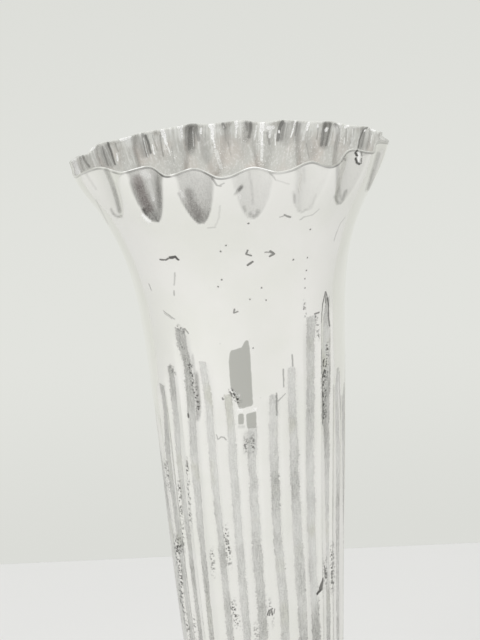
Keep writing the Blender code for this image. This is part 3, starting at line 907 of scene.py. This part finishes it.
# Small dark marks and scratches on the near wall, as (strength, half width, points of a line), in pixels
marks = [
    (0.85, 0.9, (160, 259.5), (166, 259.8), (169, 258)),
    (0.95, 1.4, (170, 257.6), (175.5, 256.8), (178, 259.4)),
    (0.75, 0.9, (247.4, 250.4), (246.2, 254), (251.3, 255.6)), (0.8, 1.1, (248, 265), (252.6, 261.8)),
    (0.75, 1.2, (270.3, 251.4), (274, 253.8), (270, 256)), (0.6, 0.7, (265.3, 252.3), (269.5, 252.2)),
    (0.45, 0.6, (279.8, 217), (283.6, 216.2)), (0.65, 0.9, (284.5, 215), (287, 216), (290.4, 217)),
    (0.7, 0.7, (234.5, 309), (233.8, 313), (237.8, 311.6)), (0.35, 0.8, (175, 273), (174.2, 285)),
    (0.45, 0.9, (174, 291), (174.2, 295)), (0.5, 0.6, (163.5, 311), (174.4, 319)),
    (0.4, 0.6, (164.5, 313.5), (172, 318.5)), (0.75, 0.9, (314.8, 314), (319, 312.4)),
    (0.45, 0.7, (211.5, 177.4), (217.5, 185.6), (221, 186)), (0.35, 0.6, (219, 186), (224, 183.2)),
    (0.28, 0.6, (269.5, 172), (276, 180)), (0.15, 0.6, (276, 180), (289, 184)),
    (0.3, 0.8, (300.6, 219.6), (303.8, 217)), (0.26, 0.6, (303.8, 217), (312.5, 215), (319, 209.2)),
    (0.55, 0.6, (216.6, 435), (217.8, 439.2)),
    (0.5, 0.6, (218.5, 439), (221, 437), (224, 437.4), (226, 440)),
    (0.45, 0.6, (277.6, 401), (285.2, 393.6)), (0.5, 0.9, (292.2, 355), (292.8, 366)),
    (0.5, 0.8, (283.3, 369.5), (283.8, 387)), (0.5, 0.8, (276.4, 393.5), (276.8, 415)),
    (0.55, 0.8, (185, 328.6), (188.4, 333.4)), (0.35, 0.7, (334, 240.6), (336.8, 232)),
    (0.3, 0.6, (336.8, 232), (340, 223.8), (345, 217.5)), (0.14, 0.7, (220, 206), (219, 218), (215, 227)),
    (0.2, 0.8, (215, 227.4), (208, 227.8)), (0.95, 0.9, (357.2, 150.4), (355.2, 153), (357, 155.6)),
    (0.95, 1, (355.6, 158.5), (356.6, 162.3), (359.4, 164)), (0.7, 0.5, (360.8, 151.5), (361.2, 156)),
    (0.7, 0.5, (361, 158.5), (361.2, 163.5)), (0.8, 1, (324.6, 566), (325, 577)),
    (0.85, 3.2, (322.4, 580), (321.4, 588)), (0.95, 1.6, (320.6, 590), (317.4, 593.6)),
    (0.85, 0.8, (267.4, 615), (269.2, 610.4), (272.4, 608.6)), (0.9, 1, (271.6, 611), (272.4, 614.5)),
    (0.8, 0.8, (270, 612), (269.2, 615.5)), (0.7, 0.7, (274.6, 609), (274, 613.4)),
    (0.8, 1.1, (188, 414), (188.5, 417)), (0.7, 1.1, (222.5, 398.3), (222.9, 399.3)),
    (0.75, 0.9, (325.3, 292), (322.6, 304), (321.5, 322)), (0.3, 0.8, (321.5, 322), (321.6, 350)),
    (0.8, 1.1, (321.8, 350), (322.4, 395), (322.8, 424)),
    (0.75, 0.9, (326, 292), (328.6, 306), (329.6, 326)), (0.22, 0.8, (329.8, 326), (329.8, 392)),
    (0.6, 1.2, (325.6, 293), (325.4, 302)), (0.55, 0.7, (148.9, 284), (151.3, 290)),
    (0.35, 0.8, (339.5, 372), (340.2, 420)),
]

# Single dark dots, as pixels of the photograph
dots = [
    (248.5, 223.5), (310.3, 229.4), (220.6, 251.3), (307.5, 257.8), (306.3, 270.6), (304.8, 278.8),
    (305, 287.9), (261.5, 287.8), (249.8, 299.4), (265.9, 300), (218.1, 286.9), (253.3, 348.1),
    (293.4, 259.6), (315.8, 316.6), (182, 347), (212.5, 553.8), (304.4, 304), (303.8, 309), (221.6, 279.5),
    (226, 245.5),
]


# Pixel to place on a wall, between the nearest points of the finished skin above and below it
def placeOn(side, x, y):
    xs, ys, turns, heights, way = side[1:]
    reach = 4.0 * np.abs(xs - x) + np.abs(ys - y)
    a, b = [int(np.argmin(np.where(part, reach, 1e6))) for part in (ys <= y, ys > y)]
    t = (y - ys[a]) / (ys[b] - ys[a])
    turn = turns[a] + t * (turns[b] - turns[a])
    height = heights[a] + t * (heights[b] - heights[a])
    beside = way * (x - xs[a] - t * (xs[b] - xs[a]))
    turn += beside * pixel / (trumpetRadius(height) * math.cos(turn))
    return float(turn), float(height)


# How much of each stroke shows at a point, from its distance to the stroke's line along the wall
def strokeField(tree, warp, side, strokes, level):
    radius = trumpetRadius(level)
    half = 0.6 * pixel
    flat = vectors(tree, "MULTIPLY", painted(tree, side[0], 1), (radius, 1.0, 0.0))
    flat = vectors(tree, "MULTIPLY_ADD", warp, (2 * half, 2 * half, 0.0), flat)
    field = None
    for strength, width, *line in strokes:
        spots = []
        for x, y in line:
            turn, z = placeOn(side, x, y)
            spots.append(Vector((turn * radius + half, z + half, 0.0)))
        nearest = None
        if len(spots) == 1:
            nearest = vectors(tree, "DISTANCE", flat, tuple(spots[0]), output=1)
        for a, b in zip(spots, spots[1:]):
            run = b - a
            gap = vectors(tree, "SUBTRACT", flat, tuple(a))
            along = vectors(tree, "DOT_PRODUCT", gap, tuple(run / run.length_squared), output=1)
            along = wire(tree, "ShaderNodeClamp", {"Value": along})
            foot = wire(tree, "ShaderNodeVectorMath", {0: tuple(run), 3: along}, operation="SCALE")
            gap = vectors(tree, "DISTANCE", gap, foot, output=1)
            nearest = gap if nearest is None else sums(tree, "MINIMUM", nearest, gap)
        mark = window(tree, nearest, (width + 0.5) * pixel, max(width - 0.5, 0.0) * pixel, 0.0, strength)
        field = mark if field is None else most(tree, field, mark)
    return field


# Clean plate, a little duller in clouds
def cleanPlate(tree, cloud):
    return blended(tree, window(tree, cloud, 0.3, 0.75), silver["clean"], silver["dull"])


def cleanRoughness(tree, cloud):
    return window(tree, cloud, 0.2, 0.9, silver["roughness"] - 0.03, silver["roughness"] + 0.05)


def planished(tree, shader, at):
    hammered = noiseOf(tree, at, "hammered")
    scratches = noise(tree, stretched(tree, at, (1.0, 1.0, 0.05), (0.3, 0.2, 0.0)), 2600.0, 2.0, 0.6)
    height = times(tree, hammered, 0.00004)
    relief(tree, shader, plus(tree, height, scratches, 0.000004))


# The lining: darker and warmer low down, streaked near the mouth with painted dark and light
# reflections, and flecked with a fine painted highlight
def liningColour(tree, at, fields):
    colour = window(tree, noiseOf(tree, at, "lining"), 0.35, 0.7)
    colour = blended(tree, colour, silver["inside"], silver["insideDeep"])
    place = painted(tree, "liningPlace", 1)
    streaks = noise(tree, vectors(tree, "MULTIPLY", place, lining["streaks"]), 1.0, 3.0, 0.65)
    height = wire(tree, "ShaderNodeSeparateXYZ", {0: place}, output=1)
    high = window(tree, plus(tree, height, streaks, 0.010), *lining["high"])
    low = window(tree, plus(tree, height, streaks, 0.004), *lining["low"], 0.0, 0.8)
    colour = blended(tree, low, colour, silver["insideLow"])
    warm = times(tree, low, window(tree, fields["slow"], 0.42, 0.66))
    colour = blended(tree, warm, colour, silver["insideWarm"])
    # Painted dark reflections and painted highlights, as streaks near the mouth
    darker = times(tree, window(tree, streaks, 0.50, 0.36, 0.0, 0.4), high)
    colour = blended(tree, darker, colour, silver["insideDark"])
    lighter = times(tree, window(tree, streaks, 0.55, 0.68, 0.0, 0.7), high)
    colour = blended(tree, lighter, colour, silver["highlight"])
    # A fine speckle of painted highlight
    return blended(tree, window(tree, fields["grain"], 0.50, 0.66, 0.0, 0.3), colour, silver["highlight"])


# The stripes in the flutes: ragged tarnish with a speckled grain, an outline and a faint halo
def striped(tree, at, colour, outside, fields):
    edges = sums(tree, "SUBTRACT", painted(tree, "groove"), 0.42)
    for name, factor in (("wobble", 0.36), ("ragged", 0.32), ("mottled", 0.16)):
        edges = plus(tree, edges, fields[name], factor)
    stripe = window(tree, edges, 0.44, 0.56)
    outlined = times(tree, stripe, window(tree, edges, 0.64, 0.54))
    ends = plus(tree, painted(tree, "stripeEnd"), fields["ragged"], 0.10)
    stripe = times(tree, stripe, window(tree, ends, 0.54, 0.58))
    stripe = times(tree, stripe, outside)
    depth = plus(tree, sums(tree, "SUBTRACT", painted(tree, "stripeDark"), 0.65), fields["slow"], 1.3)
    tinted = window(tree, noiseOf(tree, at, "tinted"), 0.56, 0.72)
    tone = blended(tree, tinted, silver["stripe"], silver["stripeWarm"])
    tone = blended(tree, window(tree, depth, 0.1, 1.0), tone, silver["stripeDark"])
    speckled = plus(tree, times(tree, fields["mottled"], 0.75), fields["hairs"], 0.4)
    speckled = times(tree, speckled, window(tree, depth, -0.1, 1.0, 0.20, 0.68))
    speckled = plus(tree, speckled, outlined, 0.12)
    halo = window(tree, edges, 0.05, 0.44)
    halo = times(tree, halo, window(tree, fields["mottled"], 0.0, 1.0, 0.03, 0.28))
    halo = times(tree, halo, window(tree, painted(tree, "stripeEnd"), 0.52, 0.70))
    halo = times(tree, halo, outside)
    colour = blended(tree, halo, colour, silver["stripeDark"])
    return blended(tree, stripe, colour, blended(tree, speckled, tone, silver["grain"])), stripe


# The painted reflection patch, the tarnished ovals, and the soft patches: tarnish on the near wall, and
# mostly painted dark reflections on the lining
def tarnishAndReflections(tree, colour, fields):
    # The grey patch of painted reflection
    paintedReflection = window(tree, plus(tree, painted(tree, "reflectionPatch"), fields["ragged"], 0.12), 0.52, 0.60)
    colour = blended(tree, paintedReflection, colour, silver["paintedReflection"])
    flecked = plus(tree, times(tree, fields["mottled"], 0.45), fields["hairs"], 0.25)
    flecked = window(tree, plus(tree, flecked, fields["slow"], 0.6), 0.15, 0.95, 0.60, 1.0)
    oval = times(tree, painted(tree, "oval"), flecked)
    grey = most(tree, oval, times(tree, painted(tree, "grey"), flecked))
    colour = blended(tree, grey, colour, silver["grey"])
    for name in ("brown", "dark"):
        colour = blended(tree, times(tree, painted(tree, name), flecked), colour, silver[name])
    return colour, grey


# Pitted strips and loose specks
def pitting(tree, at, fields):
    pits = window(tree, cells(tree, at, 1250.0), 0.64, 0.44)
    pits = times(tree, pits, window(tree, fields["ragged"], 0.42, 0.50))
    pits = times(tree, pits, painted(tree, "pitted"))
    loose = window(tree, cells(tree, at, 420.0), 0.10, 0.05)
    loose = times(tree, loose, window(tree, fields["slow"], 0.60, 0.72, 0.0, 0.5))
    return most(tree, pits, loose)


# The dark line just below the rim's edge
def rimLine(tree, rimBand, outside, fields):
    line = times(tree, window(tree, rimBand, 0.30, 0.45), window(tree, rimBand, 0.82, 0.68))
    line = times(tree, line, window(tree, fields["slow"], 0.40, 0.6, 0.45, 0.70))
    return times(tree, line, times(tree, painted(tree, "rimDark"), outside))


def trumpetFinish(tree, shader, at, outerSide, liningSide):
    warp = wire(tree, "ShaderNodeTexNoise", {"Vector": at, "Scale": 900.0, "Detail": 1.0}, output=1)
    inside = painted(tree, "inside")
    outside = sums(tree, "SUBTRACT", 1.0, inside)
    dotted = [(0.75, 0.9, dot) for dot in dots]
    wallMarks = strokeField(tree, warp, outerSide, marks + dotted, trumpet["marksHeight"])
    wallMarks = times(tree, wallMarks, outside)
    # The lining's crisp streaks are painted dark reflections, and its ridges painted highlights
    streaks = times(tree, strokeField(tree, warp, liningSide, mouthDarkReflections, trumpet["mouthHeight"]), inside)
    ridgeHighlights = times(tree, strokeField(tree, warp, liningSide, mouthRidgeHighlights, trumpet["mouthHeight"]), inside)
    ridgeHighlights = times(tree, ridgeHighlights, window(tree, noiseOf(tree, at, "worn"), 0.36, 0.52, 0.6, 1.0))
    shine = most(tree, painted(tree, "shine"), ridgeHighlights)

    fields = {name: noiseOf(tree, at, name) for name in ("cloud", "grain", "wobble", "slow")}
    colour = cleanPlate(tree, fields["cloud"])
    colour = blended(tree, inside, colour, liningColour(tree, at, fields))
    fields["mottled"] = window(tree, noiseOf(tree, at, "mottled"), 0.38, 0.64)
    fields["hairs"] = window(tree, noiseOf(tree, at, "hairs"), 0.42, 0.62)
    fields["ragged"] = noiseOf(tree, at, "ragged")
    colour, stripe = striped(tree, at, colour, outside, fields)
    colour, grey = tarnishAndReflections(tree, colour, fields)
    colour = blended(tree, streaks, colour, silver["dark"])

    # Painted glints: bright specks that stand in for sparkling highlights
    glints = window(tree, cells(tree, at, 1700.0), 0.36, 0.16)
    glints = times(tree, glints, window(tree, fields["ragged"], 0.42, 0.56))
    glints = times(tree, painted(tree, "glints"), glints)
    rimBand = painted(tree, "rimBand")
    # A painted highlight along the rim's edge, with a grey line below it
    rimHighlightShown = times(tree, window(tree, rimBand, 0.76, 0.92), painted(tree, "rimLit"))
    rimDull = sums(tree, "SUBTRACT", painted(tree, "rimDark"), painted(tree, "rimLit"), clamp=True)
    rimDull = times(tree, window(tree, rimBand, 0.72, 0.88, 0.0, 0.6), rimDull)
    colour = blended(tree, rimDull, colour, silver["grey"])
    # Painted highlights: the shine patches, the ridges, the glints and the rim's edge
    shine = most(tree, shine, glints, rimHighlightShown)
    colour = blended(tree, shine, colour, silver["highlight"])
    spoiled = most(tree, pitting(tree, at, fields), wallMarks)
    line = rimLine(tree, rimBand, outside, fields)
    colour = blended(tree, most(tree, line, times(tree, spoiled, 0.9)), colour, silver["dark"])
    tree.links.new(colour, shader.inputs["Base Color"])

    worn = most(tree, stripe, grey, times(tree, inside, 0.25))
    worn = times(tree, worn, sums(tree, "SUBTRACT", 1.0, shine))
    rough = cleanRoughness(tree, fields["cloud"])
    rough = plus(tree, rough, worn, silver["tarnishRoughness"] - silver["roughness"])
    rough = plus(tree, rough, spoiled, 0.3, clamp=True)
    tree.links.new(rough, shader.inputs["Roughness"])
    # The painted highlights are far less metallic, so that they show white in the lamps' light, and the
    # lining a little less
    lessMetallic = most(tree, shine, times(tree, inside, 0.45))
    tree.links.new(plus(tree, 1.0, lessMetallic, -0.9), shader.inputs["Metallic"])
    planished(tree, shader, at)


# Plain plate for the pieces below: cleaner on the high places, greyer where the painted hollow is.
def plateFinish(name, hollow=False):
    made, tree, shader, at = newMaterial(name)
    cloud = noiseOf(tree, at, "cloud")
    colour = cleanPlate(tree, cloud)
    rough = cleanRoughness(tree, cloud)
    if hollow:
        deep = sums(tree, "SUBTRACT", painted(tree, "hollow"), 0.2)
        deep = window(tree, plus(tree, deep, noiseOf(tree, at, "wobble"), 0.4), 0.45, 0.7)
        grain = window(tree, noiseOf(tree, at, "grain"), 0.4, 0.7)
        colour = blended(tree, deep, colour, blended(tree, grain, silver["stripe"], silver["stripeDark"]))
        rough = plus(tree, rough, deep, silver["tarnishRoughness"] - silver["roughness"])
    pits = window(tree, cells(tree, at, 520.0), 0.16, 0.09)
    pits = times(tree, pits, window(tree, cloud, 0.60, 0.72))
    colour = blended(tree, times(tree, pits, 0.7), colour, silver["dark"])
    tree.links.new(colour, shader.inputs["Base Color"])
    tree.links.new(plus(tree, rough, pits, 0.3, clamp=True), shader.inputs["Roughness"])
    shader.inputs["Metallic"].default_value = 1.0
    planished(tree, shader, at)
    return made


def plainFinish(name, colour, metallic, roughness, scale, depth):
    made, tree, shader, at = newMaterial(name)
    cloud = noise(tree, at, scale, 3.0)
    darker, lighter = tuple(c * 0.8 for c in colour), tuple(min(c * 1.15, 1.0) for c in colour)
    tree.links.new(blended(tree, cloud, darker, lighter), shader.inputs["Base Color"])
    rough = window(tree, cloud, 0.2, 0.8, roughness * 0.8, roughness * 1.2)
    tree.links.new(rough, shader.inputs["Roughness"])
    shader.inputs["Metallic"].default_value = metallic
    relief(tree, shader, times(tree, noise(tree, at, scale * 4), depth))
    return made


# The thistle bulb, with the trumpet's flutes run on round it and a plain collar band at its top
bulb = {
    "segments": 420, "sheet": 0.00062, "belly": 0.0378, "bellyHeight": 0.065, "seat": 0.0110,
    "collar": 0.0264, "collarHeight": 0.0933, "lipHeight": 0.0003,
    "fluteDepth": 0.0012, "fluteFade": 0.012, "fluteHollow": 0.9,
}


def makeBulb():
    low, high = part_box("thistle_bulb")
    profile = [(bulb["seat"] * step, low.z) for step in spread(0.0, 1.0, 4)]
    for turn in spread(0.0, math.pi / 2, 28)[1:]:
        r = bulb["seat"] + (bulb["belly"] - bulb["seat"]) * math.sin(turn)
        profile.append((r, bulb["bellyHeight"] - (bulb["bellyHeight"] - low.z) * math.cos(turn)))
    for step in spread(0.0, 1.0, 30)[1:]:
        r = bulb["collar"] + (bulb["belly"] - bulb["collar"]) * (0.5 + 0.5 * math.cos(math.pi * step))
        profile.append((r, bulb["bellyHeight"] + (bulb["collarHeight"] - bulb["bellyHeight"]) * step))
    lipStart = high.z - bulb["lipHeight"]
    profile += [(bulb["collar"], z) for z in spread(bulb["collarHeight"], lipStart, 6)[1:]]
    inner = shifted(profile, bulb["sheet"])[::-1]
    inner[-4:] = [(r, low.z + bulb["sheet"]) for r, z in profile[3::-1]]
    lip = arc(bulb["collar"] - bulb["sheet"] / 2, lipStart, bulb["lipHeight"], 20, 160, 4)
    mesh = spun(profile + lip + inner, bulb["segments"])
    made = finishedPiece("bulb", mesh, plateFinish("bulbSilver", True), "thistle_bulb")
    points = pointsOf(made.data)
    turn, radius = roundAxis(points)
    flute = np.abs(np.sin(trumpet["flutes"] / 2 * (turn - trumpet["fluteTurn"])))
    fade = ease((bulb["collarHeight"] - points[:, 2]) / bulb["fluteFade"])
    fade *= ease((radius - bulb["seat"]) / bulb["fluteFade"])
    pressed = bulb["fluteDepth"] * fade * flute ** bulb["fluteHollow"] / np.maximum(radius, 0.001)
    points[:, :2] *= (1.0 - pressed)[:, None]
    setPoints(made.data, points)
    paint(made.data, "hollow", fade * flute)


# The turned stem: flanges with rounded edges, fine fillets and a knop
stem = {
    "segments": 180, "neck": 0.0056, "bore": 0.0028, "sink": 0.0065, "sinkDepth": 0.0017,
    "flange": 0.0111, "flangeLength": 0.0043, "flangeEnd": 0.0009, "flangeInset": 0.0006, "edge": 0.0004,
    "knop": 0.0086, "knopLength": 0.0064,
    "fillet": 0.0006, "filletWidth": 0.00035, "filletPlace": 0.56,
}


def makeStem():
    low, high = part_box("stem_spool")
    edge, end = stem["edge"], stem["flangeEnd"]
    profile = arc(stem["flange"] - edge, low.z + edge, edge, -90, 0, 6)
    for z in spread(low.z + end, high.z - end, 70):
        fromEnd = min(z - low.z, high.z - z)
        fromKnop = abs(z - (low.z + high.z) / 2)
        flange = max(1.0 - (fromEnd - end) / stem["flangeLength"], 0.0) ** 2.4
        knop = math.sqrt(max(1.0 - (fromKnop / (stem["knopLength"] / 2)) ** 2, 0.0))
        fromFillet = (fromKnop - stem["knopLength"] * stem["filletPlace"]) / stem["filletWidth"]
        r = stem["neck"] + (stem["flange"] - stem["flangeInset"] - stem["neck"]) * flange
        r += (stem["knop"] - stem["neck"]) * knop + stem["fillet"] * math.exp(-fromFillet ** 2)
        profile.append((r, z))
    profile += arc(stem["flange"] - edge, high.z - edge, edge, 0, 90, 6)
    step = high.z - stem["sinkDepth"]
    inner = [(stem["sink"], high.z), (stem["sink"], step), (stem["bore"], step), (stem["bore"], low.z)]
    mesh = spun(profile + inner, stem["segments"])
    finishedPiece("stem", mesh, plateFinish("stemSilver"), "stem_spool")


# The stamped foot: a plain band, a small step and an ogee dome, and the round wire on its edge
foot = {
    "segments": 240, "radius": 0.0409, "sheet": 0.0006, "band": 0.0042, "step": 0.0026, "stepRise": 0.0010,
    "top": 0.0118, "hole": 0.0028, "edge": 0.0005, "wire": 0.00118, "wireMiddle": 0.0425,
    "stepTarnish": 0.8, "stepTarnishWidth": 0.0012,
}


def makeFoot():
    low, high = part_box("foot_shell")
    edge = foot["edge"]
    bandTop = low.z + foot["band"]
    ledge = foot["radius"] - foot["step"]
    domeStart = bandTop + foot["stepRise"]
    profile = [(foot["radius"], z) for z in spread(low.z, bandTop - edge, 5)]
    profile += arc(foot["radius"] - edge, bandTop - edge, edge, 0, 90, 6)[1:]
    profile += arc(ledge + edge, bandTop + edge, edge, 270, 180, 6)
    for t in spread(0.0, 1.0, 48)[1:]:
        lift = domeStart + (high.z - domeStart) * float(ease(t))
        profile.append((ledge + (foot["top"] - ledge) * t, lift))
    inner = shifted(profile, foot["sheet"])
    inner[0] = (foot["radius"] - foot["sheet"], low.z)
    inner[-1] = (foot["top"], high.z - foot["sheet"])
    middle = [(foot["hole"], high.z), (foot["hole"], high.z - foot["sheet"])]
    mesh = spun(profile + middle + inner[::-1], foot["segments"])
    made = finishedPiece("foot", mesh, plateFinish("footSilver", True), "foot_shell")
    points = pointsOf(made.data)
    nearStep = np.exp(-((roundAxis(points)[1] - ledge) / foot["stepTarnishWidth"]) ** 2)
    paint(made.data, "hollow", foot["stepTarnish"] * nearStep * (points[:, 2] > bandTop - 0.0002))

    low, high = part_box("foot_edge_wire")
    ring = arc(foot["wireMiddle"], (low.z + high.z) / 2, foot["wire"], 0, 345, 24)
    mesh = spun(ring, foot["segments"])
    finishedPiece("wire", mesh, plateFinish("wireSilver"), "foot_edge_wire")


# The baize pad, with the felt's soft edge
baize = {
    "segments": 160, "roughness": 0.95, "sheen": 0.3, "fibreDepth": 0.00025,
    "shade": (0.022, 0.075, 0.035), "nap": (0.06, 0.15, 0.08), "matted": (0.03, 0.09, 0.045),
}


def makePad():
    low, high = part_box("baize_pad")
    edge = (high.z - low.z) / 2
    profile = [(0.0, low.z)] + [(high.x * t, low.z) for t in spread(0.1, 0.95, 10)]
    profile += arc(high.x - edge, low.z + edge, edge, -90, 90, 9)
    profile += [(high.x * t, high.z) for t in spread(0.95, 0.1, 10)] + [(0.0, high.z)]
    finish, tree, shader, at = newMaterial("baize")
    fibres = noise(tree, at, 1800.0, 4.0, 0.7)
    matted = noise(tree, at, 120.0, 3.0)
    tone = blended(tree, window(tree, fibres, 0.3, 0.7), baize["shade"], baize["nap"])
    tone = blended(tree, window(tree, matted, 0.45, 0.75, 0.0, 0.4), tone, baize["matted"])
    tree.links.new(tone, shader.inputs["Base Color"])
    shader.inputs["Roughness"].default_value = baize["roughness"]
    shader.inputs["Sheen Weight"].default_value = baize["sheen"]
    relief(tree, shader, times(tree, fibres, baize["fibreDepth"]))
    finishedPiece("pad", spun(profile, baize["segments"]), finish, "baize_pad")


# Finishes of the pieces inside, which keep their meshes, as name, colour, metal, roughness, grain, depth
hiddenFinishes = {
    "stem_stud": ("brassTurned", (0.62, 0.46, 0.2), 1.0, 0.32, 400.0, 2e-6),
    "stud_nut": ("brassNut", (0.60, 0.44, 0.2), 1.0, 0.36, 400.0, 2e-6),
    "stud_washer": ("steelWasher", (0.42, 0.42, 0.43), 1.0, 0.4, 500.0, 2e-6),
    "base_plate": ("steelPlate", (0.40, 0.40, 0.41), 1.0, 0.45, 300.0, 3e-6),
    "foot_loading": ("pitch", (0.035, 0.028, 0.024), 0.0, 0.55, 160.0, 1e-4),
}


def dressHiddenPieces():
    for node, finish in hiddenFinishes.items():
        data = frame["nodes"][node].data
        data.materials.clear()
        data.materials.append(plainFinish(*finish))


# The table: its far edge runs through these two pixels of the photograph.
table = {
    "edgeLeft": (0, 562), "edgeRight": (480, 540), "thickness": 0.03, "reach": 3.0, "bevel": 0.004,
    "colour": shown(229, 229, 227), "roughness": 0.6,
}


def makeTable():
    a, b = onTable(*table["edgeLeft"]), onTable(*table["edgeRight"])
    slope = math.atan2(b.y - a.y, b.x - a.x)
    middle = (a + b) / 2
    reach, thickness = table["reach"], table["thickness"]
    mesh = bmesh.new()
    bmesh.ops.create_cube(mesh, size=1.0)
    bmesh.ops.scale(mesh, vec=(2 * reach, reach, thickness), verts=mesh.verts[:])
    bmesh.ops.translate(mesh, vec=(0, -reach / 2, -thickness / 2), verts=mesh.verts[:])
    bmesh.ops.bevel(mesh, geom=mesh.edges[:], offset=table["bevel"], segments=3, profile=0.5,
                    affect="EDGES", material=-1)
    bmesh.ops.rotate(mesh, cent=(0, 0, 0), matrix=Matrix.Rotation(slope, 3, "Z"), verts=mesh.verts[:])
    bmesh.ops.translate(mesh, vec=(middle.x, middle.y, 0), verts=mesh.verts[:])
    finish, tree, shader, at = newMaterial("table")
    shaded = tuple(c * 0.97 for c in table["colour"])
    tone = blended(tree, noise(tree, at, 9.0, 3.0), table["colour"], shaded)
    tree.links.new(tone, shader.inputs["Base Color"])
    shader.inputs["Roughness"].default_value = table["roughness"]
    solid("table", mesh, finish)


# The wall behind, seen straight and in the metal, and a plain even light for everything else. Its tones
# change over heights of the sight line's direction, and the metal sees it brighter above and beyond.
wall = {
    "low": shown(219, 220, 215), "middle": shown(226, 227, 222), "high": shown(221, 222, 217),
    "lowEnd": (-0.38, -0.26), "highStart": (-0.26, -0.02),
    "ambient": 0.73, "ceiling": 1.25, "ceilingStart": (0.15, 0.7), "rightward": -0.025, "behind": -0.07,
    "beyond": 0.06, "beyondStart": (0.0, 0.7), "bands": 0.08,
}


def makeWorld():
    world = bpy.data.worlds.new("room")
    world.use_nodes = True
    bpy.context.scene.world = world
    tree = world.node_tree
    tree.nodes.clear()
    direction = wire(tree, "ShaderNodeTexCoord", {}, output=0)
    split = tree.nodes.new("ShaderNodeSeparateXYZ")
    tree.links.new(direction, split.inputs[0])
    up = split.outputs["Z"]
    tone = blended(tree, window(tree, up, *wall["lowEnd"]), wall["low"], wall["middle"])
    tone = blended(tree, window(tree, up, *wall["highStart"]), tone, wall["high"])
    path = tree.nodes.new("ShaderNodeLightPath")
    glossy = path.outputs["Is Glossy Ray"]
    raised = window(tree, up, *wall["ceilingStart"], 0.0, wall["ceiling"] - 1.0)
    sideways = plus(tree, wall["behind"], split.outputs["X"], wall["rightward"])
    bands = noise(tree, stretched(tree, direction, (1.0, 1.0, 0.15)), 3.2)
    raised = sums(tree, "ADD", plus(tree, raised, bands, wall["bands"]), sideways)
    beyond = window(tree, split.outputs["Y"], *wall["beyondStart"], 0.0, wall["beyond"])
    strength = plus(tree, 1.0, glossy, sums(tree, "ADD", raised, beyond))
    seen = wire(tree, "ShaderNodeBackground", {"Color": tone, "Strength": strength})
    plain = wire(tree, "ShaderNodeBackground", {"Color": (1.0, 1.0, 1.0, 1.0), "Strength": wall["ambient"]})
    straight = sums(tree, "ADD", path.outputs["Is Camera Ray"], glossy)
    straight = sums(tree, "ADD", straight, path.outputs["Is Transmission Ray"], clamp=True)
    mixed = wire(tree, "ShaderNodeMixShader", {0: straight, 1: plain, 2: seen})
    out = tree.nodes.new("ShaderNodeOutputWorld")
    tree.links.new(mixed, out.inputs["Surface"])


# Two broad soft lamps that the metal doesn't mirror, both turned to the vase's middle
lamps = {
    "key": {"at": (-0.9, -0.7, 1.3), "size": 1.1, "power": 10.6},
    "fill": {"at": (1.0, -0.5, 0.9), "size": 0.9, "power": 3.5},
}
lampsAim = Vector((0, 0, 0.15))


def makeLamps():
    for name, lamp in lamps.items():
        data = bpy.data.lights.new(name, "AREA")
        data.shape = "DISK"
        data.size = lamp["size"]
        data.energy = lamp["power"]
        made = placed(name, data)
        made.location = lamp["at"]
        made.rotation_euler = (lampsAim - Vector(lamp["at"])).to_track_quat("-Z", "Y").to_euler()
        made.visible_glossy = False


makeCamera()
makeTable()
makeWorld()
makeLamps()
print("camera, table, room and lamps set")
makeTrumpet()
print("trumpet made")
makeBulb()
makeStem()
print("bulb and stem made")
makeFoot()
makePad()
print("foot, wire and pad made")
dressHiddenPieces()
print("inner pieces dressed")
bpy.context.scene.view_settings.view_transform = "Standard"
